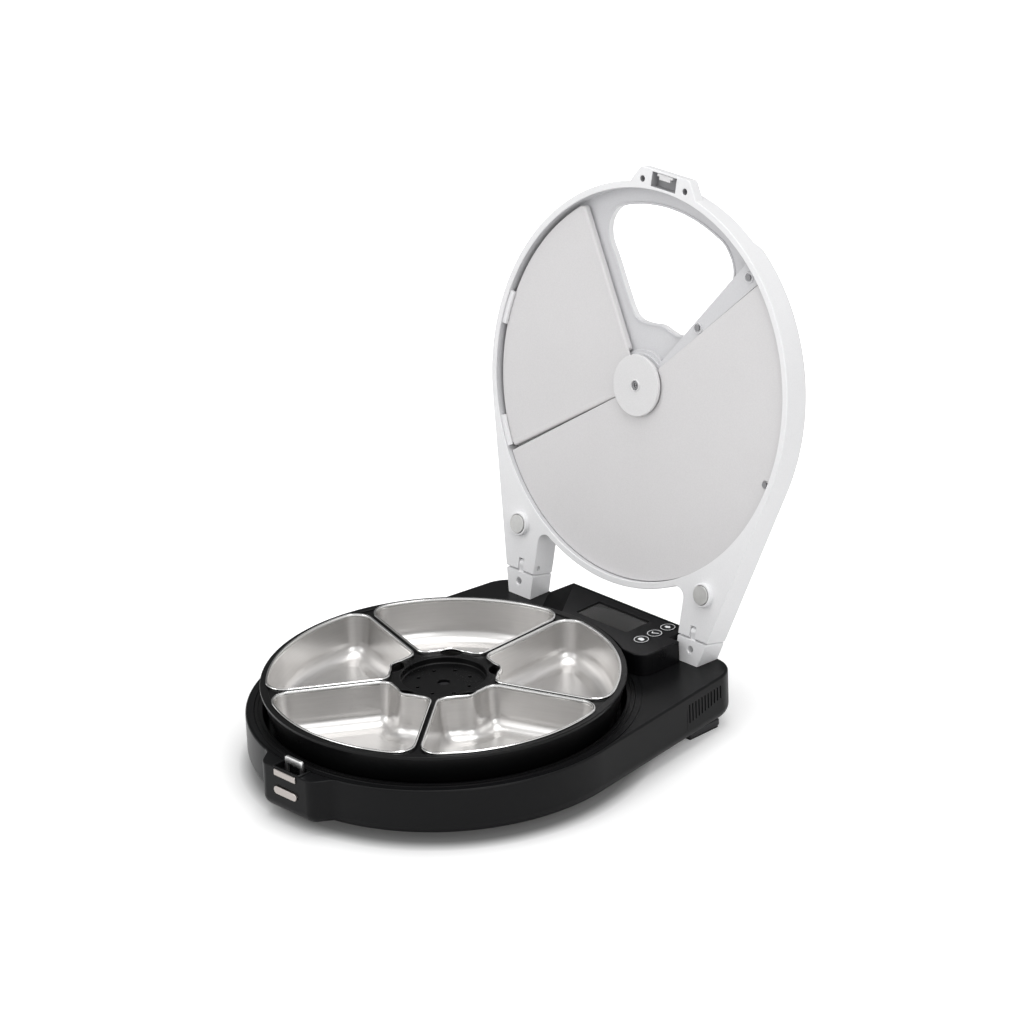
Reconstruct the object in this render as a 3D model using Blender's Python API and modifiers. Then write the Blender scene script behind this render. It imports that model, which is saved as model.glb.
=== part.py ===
"""Refrigerated cat feeder: a round cold base, a turntable with five bowls and
a hinged lid with a turning shutter. Metres, +Z up, front at -Y."""

import math

import bmesh
import bpy
from mathutils import Matrix, Vector

# Shared clearances and counts
FIT = 0.0003
PIN_FIT = 0.00015
OVERRUN = 0.002
ROUND_STEPS = 54
SMALL_STEPS = 16
CORNER_STEPS = 4
SMOOTH_ANGLE = math.radians(32)
FLAT_ANGLE = math.radians(0.5)

# Main sizes that the others follow
BASE_R = 0.1576
BASE_BOTTOM_Z = 0.008
DECK_Z = 0.0474
WELL_MARGIN = 0.0126
LINER_R = BASE_R - WELL_MARGIN
TRAY_R = LINER_R
WELL_UNDER = 0.023
LINER_FLOOR_Z = BASE_BOTTOM_Z + WELL_UNDER
LID_OVER = 0.0064
LID_R = BASE_R + LID_OVER
LEG_ROOM = 0.014
LID_REACH = LID_R + LEG_ROOM
LID_BACK = 0.007
HINGE_Y = LID_REACH + LID_BACK
REAR_BEHIND_HINGE = 0.013
BASE_REAR_Y = HINGE_Y + REAR_BEHIND_HINGE
LEG_TAPER = math.radians(17.2)
LEG_END_R = 0.005
LEG_FOOT_WIDE = 0.03203
LEG_START_S = LID_R * math.sin(LEG_TAPER)
LEG_FALL = (LID_REACH + LEG_END_R - LEG_START_S) * math.tan(LEG_TAPER)
LEG_INNER_X = LID_R * math.cos(LEG_TAPER) - LEG_FALL - LEG_FOOT_WIDE

# Base shell
BASE_TAPER = math.radians(8)
BASE_CORNER_R = 0.026
WALL = 0.0026
BASE_UNDER_R = 0.010
BASE_EDGE_R = 0.0012
BASE_FLANGE = 0.003

# Front boss of the base, with the latch
BOSS_PROUD = 0.0109
BOSS_FRONT_Y = -(BASE_R + BOSS_PROUD)
BOSS_HALF = 0.028
BOSS_ROOT_HALF = 0.039
BOSS_ROOT_IN = 0.0061
BOSS_ROOT_Y = -(BASE_R - BOSS_ROOT_IN)
BOSS_RAISED = 0.0015
BOSS_BOTTOM_Z = BASE_BOTTOM_Z + BOSS_RAISED
BOSS_UNDER_R = 0.009
BOSS_IN_SHARE = 0.8
BOSS_ROOF = 0.007
POCKET_HALF = 0.0135
POCKET_FRONT_WALL = 0.002
POCKET_LONG = 0.0123
POCKET_BACK_Y = BOSS_FRONT_Y + POCKET_LONG
POCKET_DEPTH = 0.0044
BAIL_HALF = 0.010
BAIL_LEG = 0.003
BAIL_IN = 0.0115
BAIL_BACK_Y = BOSS_FRONT_Y + BAIL_IN
BAIL_THICK = 0.003
BAIL_PROUD = 0.0078
BAIL_TOP_Z = DECK_Z + BAIL_PROUD
BAIL_UP = 0.010
BAIL_BOTTOM_Z = BOSS_BOTTOM_Z + BAIL_UP
BAIL_BAR = 0.0062
BAIL_CORNER_R = 0.002
BAIL_FOOT = 0.0012
PLATE_HALF = 0.0122
PLATE_DOWN = 0.0035
PLATE_Z = DECK_Z - PLATE_DOWN
PLATE_TALL = 0.0051
PLATE_THICK = 0.0009
PILL_HALF = 0.013
PILL_UP_SHARE = 0.5145
PILL_Z = BOSS_BOTTOM_Z + (DECK_Z - BOSS_BOTTOM_Z) * PILL_UP_SHARE
PILL_TALL = 0.0066
PILL_PROUD = 0.0016
PILL_FLANGE = 0.0012

# Feet
FOOT_REAR_SIDE = 0.0451
FOOT_REAR_BACK = 0.037
FOOT_REAR = (BASE_R - FOOT_REAR_SIDE, BASE_REAR_Y - FOOT_REAR_BACK)
FOOT_FRONT_IN = 0.045
FOOT_FRONT_A = math.radians(-54.2)
FOOT_FRONT_R = BASE_R - FOOT_FRONT_IN
FOOT_FRONT = (FOOT_FRONT_R * math.cos(FOOT_FRONT_A), FOOT_FRONT_R * math.sin(FOOT_FRONT_A))
FOOT_X = 0.033
FOOT_Y = 0.034
FOOT_NECK_SHARE = 0.4
FOOT_NECK_IN = 0.0095
FOOT_NECK_REAR_X = FOOT_REAR[0] - FOOT_NECK_IN
FOOT_NECK_AHEAD = 0.003
FOOT_NECK_REAR_Y = FOOT_REAR[1] - FOOT_NECK_AHEAD
PAD_X = 0.0306
PAD_Y = 0.0316
PAD_THICK = 0.0017

# Cold well
LINER_WALL = 0.0016
LINER_RING_WIDE = 0.0055
LINER_RING_R = LINER_R + LINER_RING_WIDE
LINER_RING_T = 0.0012
LINER_FOOT_R = 0.0055
COLLAR_R = 0.009
COLLAR_TALL = 0.0045
COLLAR_TOP_Z = LINER_FLOOR_Z + COLLAR_TALL
RING_FOAM_T = 0.007
RING_FOAM_DOWN = 0.005
RING_FOAM_Z = LINER_FLOOR_Z - RING_FOAM_DOWN
FLOOR_FOAM_IN = 0.0075
FLOOR_FOAM_R = LINER_R - FLOOR_FOAM_IN
FLOOR_FOAM_T = 0.008

# Cooling stack, turned to face the rear right
STACK_ANGLE = math.radians(55)
STACK_IN = 0.057
STACK_AT_R = LINER_R - STACK_IN
COLD_SIDE = 0.060
COLD_THICK = 0.003
MODULE_SIDE = 0.040
MODULE_THICK = 0.0036
SINK_BASE = 0.003
SINK_FINS = 9
SINK_FIN_T = 0.0015
SINK_FLOOR_GAP = 0.0007
FAN_ROOM = 0.0144
FAN_SIDE = DECK_Z - BASE_BOTTOM_Z - FAN_ROOM
FAN_DEEP = 0.008
FAN_EDGE = 0.001
FAN_BORE_R = FAN_SIDE / 2 - FAN_EDGE
FAN_HUB_R = 0.005
FAN_BLADES = 7
FAN_BLADE_T = 0.0009
FAN_BLADE_PITCH = math.radians(38)
FAN_IN = 0.0046
FAN_BACK = 0.046
FAN_Y = BASE_REAR_Y - FAN_BACK
FAN_PLATE_T = 0.0012
FAN_SPOKE_W = 0.0016
FAN_ROTOR_T = 0.005

# Vents in the right flank
VENT_COUNT = 11
VENT_BACK = 0.0653
VENT_FIRST_Y = BASE_REAR_Y - VENT_BACK
VENT_PITCH = 0.00408
VENT_WIDE = 0.0015
VENT_DOWN = 0.0072
VENT_TOP_Z = DECK_Z - VENT_DOWN
VENT_TALL = 0.0165
VENT_SHORT_SHARE = 0.68

# Drive
MOTOR_R = 0.028
MOTOR_TALL = 0.0158
SHAFT_R = 0.003
HUB_UP = 0.006
HUB_Z = LINER_FLOOR_Z + HUB_UP
HUB_FLANGE_R = 0.028
HUB_FLANGE_T = 0.003
HUB_R = 0.013

# Tray
TRAY_UP = 0.0221
TRAY_TOP_Z = DECK_Z + TRAY_UP
TRAY_RIM_DOWN = 0.0027
TRAY_LEDGE = 0.0067
TRAY_LEDGE_R = TRAY_R - TRAY_LEDGE
TRAY_WAIST_IN = 0.006
TRAY_WAIST_R = TRAY_R - TRAY_WAIST_IN
TRAY_KNEE_IN = 0.0082
TRAY_KNEE_R = TRAY_R - TRAY_KNEE_IN
TRAY_CLEAR = 0.0038
TRAY_FLOOR_Z = LINER_FLOOR_Z + TRAY_CLEAR
TRAY_FLOOR_T = 0.0016
TRAY_FOOT_IN = 0.012
TRAY_FOOT_R = TRAY_R - TRAY_FOOT_IN
TRAY_BELLY_IN = 0.009
TRAY_BELLY_R = TRAY_R - TRAY_BELLY_IN
TRAY_BELLY_UP = 0.0022
TRAY_KNEE_UP = 0.0107
TRAY_KNEE_Z = TRAY_FLOOR_Z + TRAY_KNEE_UP
TRAY_HOLE_R = 0.005
TRAY_SINK_R = 0.034
TRAY_SINK_T = 0.0024
TRAY_RING_WIDE = 0.0065
TRAY_RING_R = TRAY_SINK_R + TRAY_RING_WIDE
TRAY_RING_DOWN = 0.0009
TRAY_RING_Z = TRAY_TOP_Z - TRAY_RING_DOWN
TRAY_SINK_DEEP = 0.0056
TRAY_SINK_Z = TRAY_RING_Z - TRAY_SINK_DEEP
TRAY_RING_FOOT = 0.0025
TRAY_RING_FOOT_R = TRAY_RING_R + TRAY_RING_FOOT
TRAY_CORE_IN = 0.004
TRAY_CORE_R = TRAY_SINK_R - TRAY_CORE_IN
RIB_HALF = 0.003
FINGER_R = 0.010
FINGER_OUT = 0.0057
FINGER_AT_R = TRAY_RING_R + FINGER_OUT
FINGER_DEEP = 0.014

SHAFT_DOWN = 0.007
SHAFT_TOP_Z = TRAY_SINK_Z - SHAFT_DOWN

# Bowls
BOWL_COUNT = 5
BOWL_FIRST_ANGLE = math.radians(56)
BOWL_MARGIN = 0.0045
BOWL_OUT_R = TRAY_R - BOWL_MARGIN
BOWL_RING_GAP = 0.0015
BOWL_IN_R = TRAY_RING_R + BOWL_RING_GAP
BOWL_GAP = 0.003
BOWL_CORNER_R = 0.016
BOWL_IN_CORNER_R = 0.010
BOWL_UP = 0.0014
BOWL_RIM_Z = TRAY_TOP_Z + BOWL_UP
BOWL_CLEAR = 0.0014
BOWL_DEEP = BOWL_RIM_Z - TRAY_FLOOR_Z - BOWL_CLEAR
BOWL_STEEL = 0.0008
BOWL_RIM_W = 0.0026
BOWL_CURL = 0.0009
BOWL_DRAFT = 0.0016
BOWL_FILLET = 0.011
BOWL_FILLET_STEPS = 2

# Console
CONSOLE_TALL = 0.0189
CONSOLE_TOP_Z = DECK_Z + CONSOLE_TALL
CONSOLE_GAP_R = 0.003
CONSOLE_OVER = 0.008
CONSOLE_RIGHT_X = LEG_INNER_X + CONSOLE_OVER
CONSOLE_BEHIND = 0.004
CONSOLE_REAR_Y = BASE_REAR_Y - CONSOLE_BEHIND
CONSOLE_DEEP = 0.063
CONSOLE_FRONT_Y = CONSOLE_REAR_Y - CONSOLE_DEEP
CONSOLE_CORNER_R = 0.012
CONSOLE_STEP = 0.022
CONSOLE_STEP_Y = CONSOLE_REAR_Y - CONSOLE_STEP
CONSOLE_LEG_GAP = 0.0015
CONSOLE_REAR_X = LEG_INNER_X - CONSOLE_LEG_GAP
CONSOLE_REAR_R = 0.005
CONSOLE_LEFT_GAP = 0.005
CONSOLE_LEFT_X = CONSOLE_LEFT_GAP - LEG_INNER_X
CONSOLE_LEFT_SIDE = 0.008
CONSOLE_LEFT_Y = CONSOLE_REAR_Y - CONSOLE_LEFT_SIDE
CONSOLE_ARC_A0 = math.radians(107.8)
CONSOLE_ARC_A1 = math.radians(62.5)
CONSOLE_WALL = 0.002
SLOPE_ANGLE = math.radians(36)
SLOPE_REACH = LEG_INNER_X
CAVITY_LEFT = 0.004
BUTTON_IN = 0.024
BUTTON_X = CONSOLE_RIGHT_X - BUTTON_IN
DISPLAY_FROM_BUTTONS = 0.0473
DISPLAY_X = BUTTON_X - DISPLAY_FROM_BUTTONS
DISPLAY_BACK = 0.0253
DISPLAY_Y = CONSOLE_REAR_Y - DISPLAY_BACK
SLOPE_REAR_LEFT = 0.0697
SLOPE_REAR = (DISPLAY_X - SLOPE_REAR_LEFT, CONSOLE_REAR_Y)
SLOPE_FRONT_LEFT = 0.0367
SLOPE_LONG = 0.047
SLOPE_FRONT = (DISPLAY_X - SLOPE_FRONT_LEFT, CONSOLE_REAR_Y - SLOPE_LONG)
DISPLAY_W = 0.0575
DISPLAY_H = 0.0265
DISPLAY_SUNK = 0.001
DISPLAY_T = 0.0014
MODULE_TALL = 0.004
SCREEN_IN = 0.0015
BOARD_T = 0.0016
BOARD_LEFT = 0.0277
BOARD_X0 = DISPLAY_X - BOARD_LEFT
BOARD_RIGHT = 0.011
BOARD_X1 = BUTTON_X + BOARD_RIGHT
BOARD_DEEP = 0.0405
BOARD_Y0 = CONSOLE_REAR_Y - BOARD_DEEP
BOARD_BACK = 0.0035
BOARD_Y1 = CONSOLE_REAR_Y - BOARD_BACK
BUTTON_BACKS = (0.0403, 0.0252, 0.0101)
BUTTON_YS = tuple(CONSOLE_REAR_Y - back for back in BUTTON_BACKS)
BUTTON_R = 0.0066
BUTTON_PROUD = 0.0003
BUTTON_TRAVEL = 0.0006
BUTTON_FLANGE_R = 0.0074
BUTTON_FLANGE_T = 0.0012
BUTTON_DOWN = 0.0043
SWITCH_SIDE = 0.006
SWITCH_TALL = 0.0012
SWITCH_STUB_R = 0.0016

# Control board and power inlet
CONTROL_SIDE = 0.0636
CONTROL_BACK = 0.052
CONTROL_AT = (CONTROL_SIDE - BASE_R, BASE_REAR_Y - CONTROL_BACK)
CONTROL_X = 0.050
CONTROL_Y = 0.032
CONTROL_LIFT = 0.0025
CHIP_X = 0.012
CHIP_Y = 0.010
CHIP_TALL = 0.002
INLET_IN = 0.013
INLET_X = INLET_IN - LEG_INNER_X
INLET_DOWN = 0.0144
INLET_Z = DECK_Z - INLET_DOWN
INLET_SIDE = 0.012
INLET_DEEP = 0.014
INLET_NOSE_R = 0.0046
INLET_BORE_R = 0.0028
INLET_PIN_R = 0.001
INLET_BORE_DEEP = 0.009
INLET_SUNK = 0.0006

# Base screws
SCREW_R = 0.0015
SCREW_HEAD_R = 0.003
SCREW_HEAD_T = 0.0014
SCREW_LONG = 0.008
SCREW_BORE_R = 0.0018
COLUMN_R = 0.004
SCREW_REAR_IN = 0.015
SCREW_REAR_BACK = 0.028
SCREW_REAR = (FOOT_NECK_REAR_X - SCREW_REAR_IN, BASE_REAR_Y - SCREW_REAR_BACK)
SCREW_FRONT_IN = 0.085
SCREW_FRONT = (LINER_R - SCREW_FRONT_IN, SCREW_FRONT_IN - LINER_R)

# Lid and hinge
HINGE_UP = 0.0246
HINGE_Z = DECK_Z + HINGE_UP
LID_OPEN = math.radians(103.3)
LID_RISE = 0.005
LID_THICK = 0.025
LID_STEP = 0.008
LID_THIN = LID_THICK - LID_STEP
LID_RIM = 0.0055
LID_CAVITY_R = LID_R - LID_RIM
LID_DECK = 0.012
LID_SKIN = 0.0025
LID_BACK_R = 0.005
LEG_FILLET_R = 0.008
LEG_SLIM = 0.003
LEG_THICK = LID_THICK - LEG_SLIM
LEG_SLIM_LONG = 0.058
LEG_SLIM_FROM = LID_REACH - LEG_SLIM_LONG
THICK_A0 = math.radians(135)
THICK_A1 = math.radians(405)
WEB = math.radians(1.6)
STEP_IN_R = 0.045
STEP_A0 = math.radians(58)
STEP_A1 = math.radians(122)
LUG_R = 0.0046
LUG_HALF = 0.0026
LUG_SIDE_FIT = 0.0004
LUG_IN = 0.0155
LUG_X = LEG_INNER_X + LUG_IN
SLOT_AHEAD = 0.0006
SLOT_BEHIND = 0.002
PIN_R = 0.002
PIN_HALF = 0.0135
POST_STOP = 0.0004
POST_HOLE_R = 0.0024
POST_HOLE_DEEP = 0.008
POST_HOLE_BEYOND = 0.0145
POST_HOLE_S = -(LID_REACH + POST_HOLE_BEYOND)
POST_BEYOND = 0.037
POST_LONG_S = -(LID_REACH + POST_BEYOND)

# Lid boss and keeper
LID_BOSS_PROUD = 0.0105
LID_BOSS_S = LID_R + LID_BOSS_PROUD
LID_BOSS_HALF = 0.027
LID_BOSS_ROOT_HALF = 0.0375
LID_BOSS_ROOT_S = LID_CAVITY_R
LID_BOSS_THICK = 0.010
KEEP_HALF = 0.0135
KEEP_LONG = 0.0138
KEEP_S0 = LID_BOSS_S - KEEP_LONG
KEEP_WALL = 0.0018
KEEP_S1 = LID_BOSS_S - KEEP_WALL
KEEP_DEEP = 0.008
KEEPER_HALF = 0.0085
KEEPER_THICK = 0.0024
KEEPER_LIP_HALF = 0.006
KEEPER_LIP_IN = 0.0069
KEEPER_LIP_S = LID_BOSS_S - KEEPER_LIP_IN
KEEPER_LIP_T = 0.002
KEEPER_IN = 0.0006
LID_HOLE_X = 0.0235
LID_HOLE_IN = 0.01
LID_HOLE_S = LID_BOSS_S - LID_HOLE_IN
LID_HOLE_R = 0.0024
LID_HOLE_DEEP = 0.006

# Window, panels and shutter under the lid
WINDOW_MID = math.radians(85.8)
WINDOW_HALF = math.radians(32.7)
WINDOW_IN_R = 0.052
WINDOW_EDGE = 0.0135
WINDOW_OUT_R = LID_CAVITY_R - WINDOW_EDGE
WINDOW_CORNER_R = 0.014
WINDOW_IN_CORNER_R = 0.010
PANEL_DEEP = 0.0045
PANEL_T = 0.0025
PANEL_A0 = math.radians(-145.5)
PANEL_A1 = math.radians(45)
PANEL_IN_R = 0.0242
PANEL_EDGE_FIT = 0.0005
SIDE_A1 = math.radians(53)
SIDE_DROP = 0.002
SIDE_T = 0.002
ANGLE_FIT = math.radians(0.4)
SHUTTER_A0 = math.radians(124)
SHUTTER_A1 = math.radians(213.6)
SHUTTER_EDGE = 0.0035
SHUTTER_R = LID_CAVITY_R - SHUTTER_EDGE
SHUTTER_T = 0.0016
SHUTTER_RING_R = 0.0232
SHUTTER_FLANGE_R0 = 0.030
SHUTTER_FLANGE_IN = 0.002
SHUTTER_RUN = 0.0005
DISC_R = 0.025
DISC_DEEP = 0.0002
DISC_T = 0.003
STEM_R = 0.008
STEM_LONG = 0.0052
DISC_SCREW_R = 0.0036
DISC_SCREW_T = 0.0012
LID_MOTOR_R = 0.017
LID_SHAFT_R = 0.0025
LID_MOTOR_POCKET_R = 0.0205
LID_FOAM_IN_R = 0.026
FOAM_FIT = 0.0004
MAGNET_OUT = 0.022
MAGNET_X = LEG_INNER_X + MAGNET_OUT
MAGNET_BEFORE_HINGE = 0.0332
MAGNET_S = MAGNET_BEFORE_HINGE - LID_REACH
MAGNET_R = 0.0078
MAGNET_RING_R = 0.0098
MAGNET_PROUD = 0.005
MAGNET_RING_PROUD = 0.0042
MAGNET_IN = 0.0015
PANEL_SCREW_EDGE = 0.005
PANEL_SCREW_A = math.radians(-16.1)
PANEL_SCREW_R = LID_CAVITY_R - PANEL_SCREW_EDGE
PANEL_SCREW = (PANEL_SCREW_R * math.cos(PANEL_SCREW_A), PANEL_SCREW_R * math.sin(PANEL_SCREW_A))
PANEL_BOSS_R = 0.004
SIDE_SCREW_A = math.radians(49)
SIDE_SCREW_SHARE = 0.505
SIDE_SCREW_EDGE = 0.009
SIDE_SCREW_RS = (LID_CAVITY_R * SIDE_SCREW_SHARE, LID_CAVITY_R - SIDE_SCREW_EDGE)
TINY_SCREW_R = 0.0012
TINY_HEAD_R = 0.0024
TINY_HEAD_T = 0.0008
TINY_LONG = 0.005

BLACK = (0.018, 0.018, 0.020)
CHARCOAL = (0.035, 0.035, 0.038)
WHITE = (0.86, 0.87, 0.88)
PALE_GREY = (0.70, 0.71, 0.73)
STEEL = (0.72, 0.71, 0.69)
BRIGHT = (0.80, 0.80, 0.80)
FOAM = (0.80, 0.79, 0.72)
GREEN = (0.03, 0.16, 0.08)
CERAMIC = (0.85, 0.85, 0.82)
RUBBER = (0.02, 0.02, 0.02)
SMOKE = (0.03, 0.035, 0.04)


class Workshop:
    """Holds the two collections and the materials already made."""

    def __init__(self):
        for item in list(bpy.data.objects):
            bpy.data.objects.remove(item, do_unlink=True)
        scene = bpy.context.scene
        self.parts = bpy.data.collections.new("refrigerated_cat_feeder")
        self.cutters = bpy.data.collections.new("cutters")
        scene.collection.children.link(self.parts)
        scene.collection.children.link(self.cutters)
        self.materials = {}

    def material(self, name, colour, roughness, metallic):
        """One Principled material for each finish."""
        if name in self.materials:
            return self.materials[name]
        made = bpy.data.materials.new(name)
        made.use_nodes = True
        shader = made.node_tree.nodes["Principled BSDF"]
        shader.inputs["Base Color"].default_value = (*colour, 1)
        shader.inputs["Roughness"].default_value = roughness
        shader.inputs["Metallic"].default_value = metallic
        made.diffuse_color = (*colour, 1)
        self.materials[name] = made
        return made


SHOP = Workshop()


def black_plastic():
    return SHOP.material("black_plastic", BLACK, 0.38, 0)


def charcoal_plastic():
    return SHOP.material("charcoal_plastic", CHARCOAL, 0.5, 0)


def white_plastic():
    return SHOP.material("white_plastic", WHITE, 0.4, 0)


def grey_plastic():
    return SHOP.material("grey_plastic", PALE_GREY, 0.45, 0)


def stainless():
    return SHOP.material("stainless", STEEL, 0.28, 1)


def bright_metal():
    return SHOP.material("bright_metal", BRIGHT, 0.15, 1)


def aluminium():
    return SHOP.material("aluminium", BRIGHT, 0.4, 1)


def foam():
    return SHOP.material("foam", FOAM, 0.9, 0)


def board():
    return SHOP.material("board", GREEN, 0.5, 0)


def ceramic():
    return SHOP.material("ceramic", CERAMIC, 0.6, 0)


def rubber():
    return SHOP.material("rubber", RUBBER, 0.85, 0)


def smoked_glass():
    return SHOP.material("smoked_glass", SMOKE, 0.08, 0)


# Making and joining solids
def add_object(name, mesh, cutter=True):
    """Links a mesh object into the cutters, or into the parts."""
    item = bpy.data.objects.new(name, mesh)
    home = SHOP.cutters if cutter else SHOP.parts
    home.objects.link(item)
    if cutter:
        item.hide_render = True
        item.display_type = "WIRE"
    return item


def as_part(item, name, material):
    """Turns a helper solid into a named part of its own material."""
    SHOP.cutters.objects.unlink(item)
    SHOP.parts.objects.link(item)
    item.name = name
    item.hide_render = False
    item.display_type = "TEXTURED"
    item.data.materials.clear()
    item.data.materials.append(material)
    return item


def shade(item):
    """Smooth shading with crisp corners."""
    item.data.shade_smooth()
    item.data.set_sharp_from_angle(angle=SMOOTH_ANGLE)


def box(name, low, high):
    """A block between two corners."""
    low = Vector(low)
    high = Vector(high)
    size = high - low
    middle = (high + low) / 2
    mesh = bpy.data.meshes.new(name)
    bm = bmesh.new()
    bmesh.ops.create_cube(bm, size=1)
    bmesh.ops.scale(bm, vec=size, verts=bm.verts)
    bmesh.ops.translate(bm, vec=middle, verts=bm.verts)
    bm.to_mesh(mesh)
    bm.free()
    return add_object(name, mesh)


def cylinder(name, radius, z0, z1, at=(0, 0), steps=SMALL_STEPS):
    """An upright cylinder."""
    mesh = bpy.data.meshes.new(name)
    bm = bmesh.new()
    bmesh.ops.create_cone(bm, cap_ends=True, segments=steps, radius1=radius,
                          radius2=radius, depth=z1 - z0)
    bmesh.ops.translate(bm, vec=(at[0], at[1], (z0 + z1) / 2), verts=bm.verts)
    bm.to_mesh(mesh)
    bm.free()
    item = add_object(name, mesh)
    shade(item)
    return item


def turn(item, matrix):
    """Moves the mesh itself by a matrix."""
    item.data.transform(matrix)
    return item


def prism(name, loops, z0, z1):
    """A flat outline, with any holes, made as thick as z0 to z1."""
    curve = bpy.data.curves.new(name, "CURVE")
    curve.dimensions = "2D"
    curve.fill_mode = "BOTH"
    curve.extrude = (z1 - z0) / 2
    for loop in loops:
        spline = curve.splines.new("POLY")
        spline.points.add(len(loop) - 1)
        for point, (x, y) in zip(spline.points, loop):
            point.co = (x, y, 0, 1)
        spline.use_cyclic_u = True
    drawn = bpy.data.objects.new(name, curve)
    drawn.location.z = (z0 + z1) / 2
    SHOP.cutters.objects.link(drawn)
    bpy.context.view_layer.update()
    graph = bpy.context.evaluated_depsgraph_get()
    mesh = bpy.data.meshes.new_from_object(drawn.evaluated_get(graph))
    mesh.transform(drawn.matrix_world)
    bpy.data.objects.remove(drawn, do_unlink=True)
    bm = bmesh.new()
    bm.from_mesh(mesh)
    bmesh.ops.remove_doubles(bm, verts=bm.verts, dist=1e-6)
    bm.normal_update()
    bmesh.ops.dissolve_limit(bm, angle_limit=FLAT_ANGLE, verts=[], edges=bm.edges)
    bm.to_mesh(mesh)
    bm.free()
    item = add_object(name, mesh)
    shade(item)
    return item


def turned(name, profile, steps=ROUND_STEPS, closed=True):
    """A profile in radius and height, turned about the upright axis."""
    mesh = bpy.data.meshes.new(name)
    count = len(profile)
    last = count if closed else count - 1
    edges = [(i, (i + 1) % count) for i in range(last)]
    mesh.from_pydata([(r, 0, z) for r, z in profile], edges, [])
    item = add_object(name, mesh)
    screw = item.modifiers.new("Turn", "SCREW")
    screw.axis = "Z"
    screw.angle = math.tau
    screw.steps = steps
    screw.render_steps = steps
    screw.use_merge_vertices = True
    screw.merge_threshold = 1e-5
    screw.use_smooth_shade = True
    return item


def cut(item, other, operation="DIFFERENCE"):
    """Cuts, joins or keeps the common part of two solids."""
    boolean = item.modifiers.new(other.name, "BOOLEAN")
    boolean.operation = operation
    boolean.solver = "EXACT"
    boolean.object = other
    return item


def join(item, *others):
    """Unites solids into the first."""
    for other in others:
        cut(item, other, "UNION")
    return item


def bevel_group(item, name, test, width, segments):
    """Rounds the edges whose ends pass the test."""
    group = item.vertex_groups.new(name=name)
    chosen = [v.index for v in item.data.vertices if test(v.co)]
    group.add(chosen, 1, "REPLACE")
    rounding = item.modifiers.new(name, "BEVEL")
    rounding.width = width
    rounding.segments = segments
    rounding.limit_method = "VGROUP"
    rounding.vertex_group = name
    rounding.use_clamp_overlap = False
    return item


# Outlines
def arc(centre, radius, start, end, steps):
    """Points along an arc, both ends included."""
    points = []
    for i in range(steps + 1):
        angle = start + (end - start) * i / steps
        points.append((centre[0] + radius * math.cos(angle),
                       centre[1] + radius * math.sin(angle)))
    return points


def circle(radius, steps=ROUND_STEPS, at=(0, 0)):
    """Points round a full circle."""
    return arc(at, radius, 0, math.tau * (steps - 1) / steps, steps - 1)


def base_outline(inset):
    """Round front, straight tapering flanks and round rear corners."""
    radius = BASE_R - inset
    corner = BASE_CORNER_R - inset
    cy = BASE_REAR_Y - BASE_CORNER_R
    cx = (BASE_R - BASE_CORNER_R - cy * math.sin(BASE_TAPER)) / math.cos(BASE_TAPER)
    points = arc((cx, cy), corner, BASE_TAPER, math.pi / 2, 2 * CORNER_STEPS)
    points += arc((-cx, cy), corner, math.pi / 2, math.pi - BASE_TAPER, 2 * CORNER_STEPS)
    points += arc((0, 0), radius, math.pi - BASE_TAPER, math.tau + BASE_TAPER,
                  ROUND_STEPS * 5 // 8)
    return points


def sector_outline(inner, outer, half, side, inner_corner, outer_corner, steps):
    """A rounded sector about +X, its sides kept off the dividing rays."""
    ray = Vector((math.cos(half), math.sin(half)))
    inward = Vector((math.sin(half), -math.cos(half)))
    far = side + outer_corner
    near = side + inner_corner
    top = ray * math.sqrt((outer - outer_corner) ** 2 - far ** 2) + inward * far
    low = ray * math.sqrt((inner + inner_corner) ** 2 - near ** 2) + inward * near
    top_angle = math.atan2(top.y, top.x)
    low_angle = math.atan2(low.y, low.x)
    square = half + math.pi / 2
    upper = arc((0, 0), outer, 0, top_angle, steps)
    upper += arc(top, outer_corner, top_angle, square, CORNER_STEPS)[1:]
    upper += arc(low, inner_corner, square, low_angle + math.pi, CORNER_STEPS)
    upper += arc((0, 0), inner, low_angle, 0, steps // 2)[1:]
    lower = [(x, -y) for x, y in reversed(upper[1:-1])]
    return upper + lower


def pie(inner, outer, start, end):
    """A ring sector."""
    steps = max(2, round(ROUND_STEPS * (end - start) / math.tau))
    inside = max(2, steps // 3)
    return arc((0, 0), outer, start, end, steps) + arc((0, 0), inner, end, start, inside)


def spin_points(points, angle):
    """Turns an outline about the origin."""
    c = math.cos(angle)
    s = math.sin(angle)
    return [(x * c - y * s, x * s + y * c) for x, y in points]


def mirrored(points):
    """The outline on the other side, still running the same way round."""
    return [(-x, y) for x, y in reversed(points)]


def stadium(half, tall, grow=0):
    """A pill outline."""
    radius = tall / 2 + grow
    reach = half - tall / 2
    right = arc((reach, 0), radius, -math.pi / 2, math.pi / 2, 2 * CORNER_STEPS)
    left = arc((-reach, 0), radius, math.pi / 2, 3 * math.pi / 2, 2 * CORNER_STEPS)
    return right + left


def facing_front(item, y, z):
    """Stands a flat solid up so that its top faces the front."""
    stand = Matrix.Rotation(math.pi / 2, 4, "X")
    return turn(item, Matrix.Translation((0, y, z)) @ stand)


# Base
def boss_outline(inset):
    """The front boss, reaching back into the shell."""
    half = BOSS_HALF - inset
    root = BOSS_ROOT_HALF - inset
    front = BOSS_FRONT_Y + inset
    back = BOSS_ROOT_Y * BOSS_IN_SHARE
    return [(root, back), (-root, back), (-root, BOSS_ROOT_Y),
            (-half, front), (half, front), (root, BOSS_ROOT_Y)]


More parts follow.
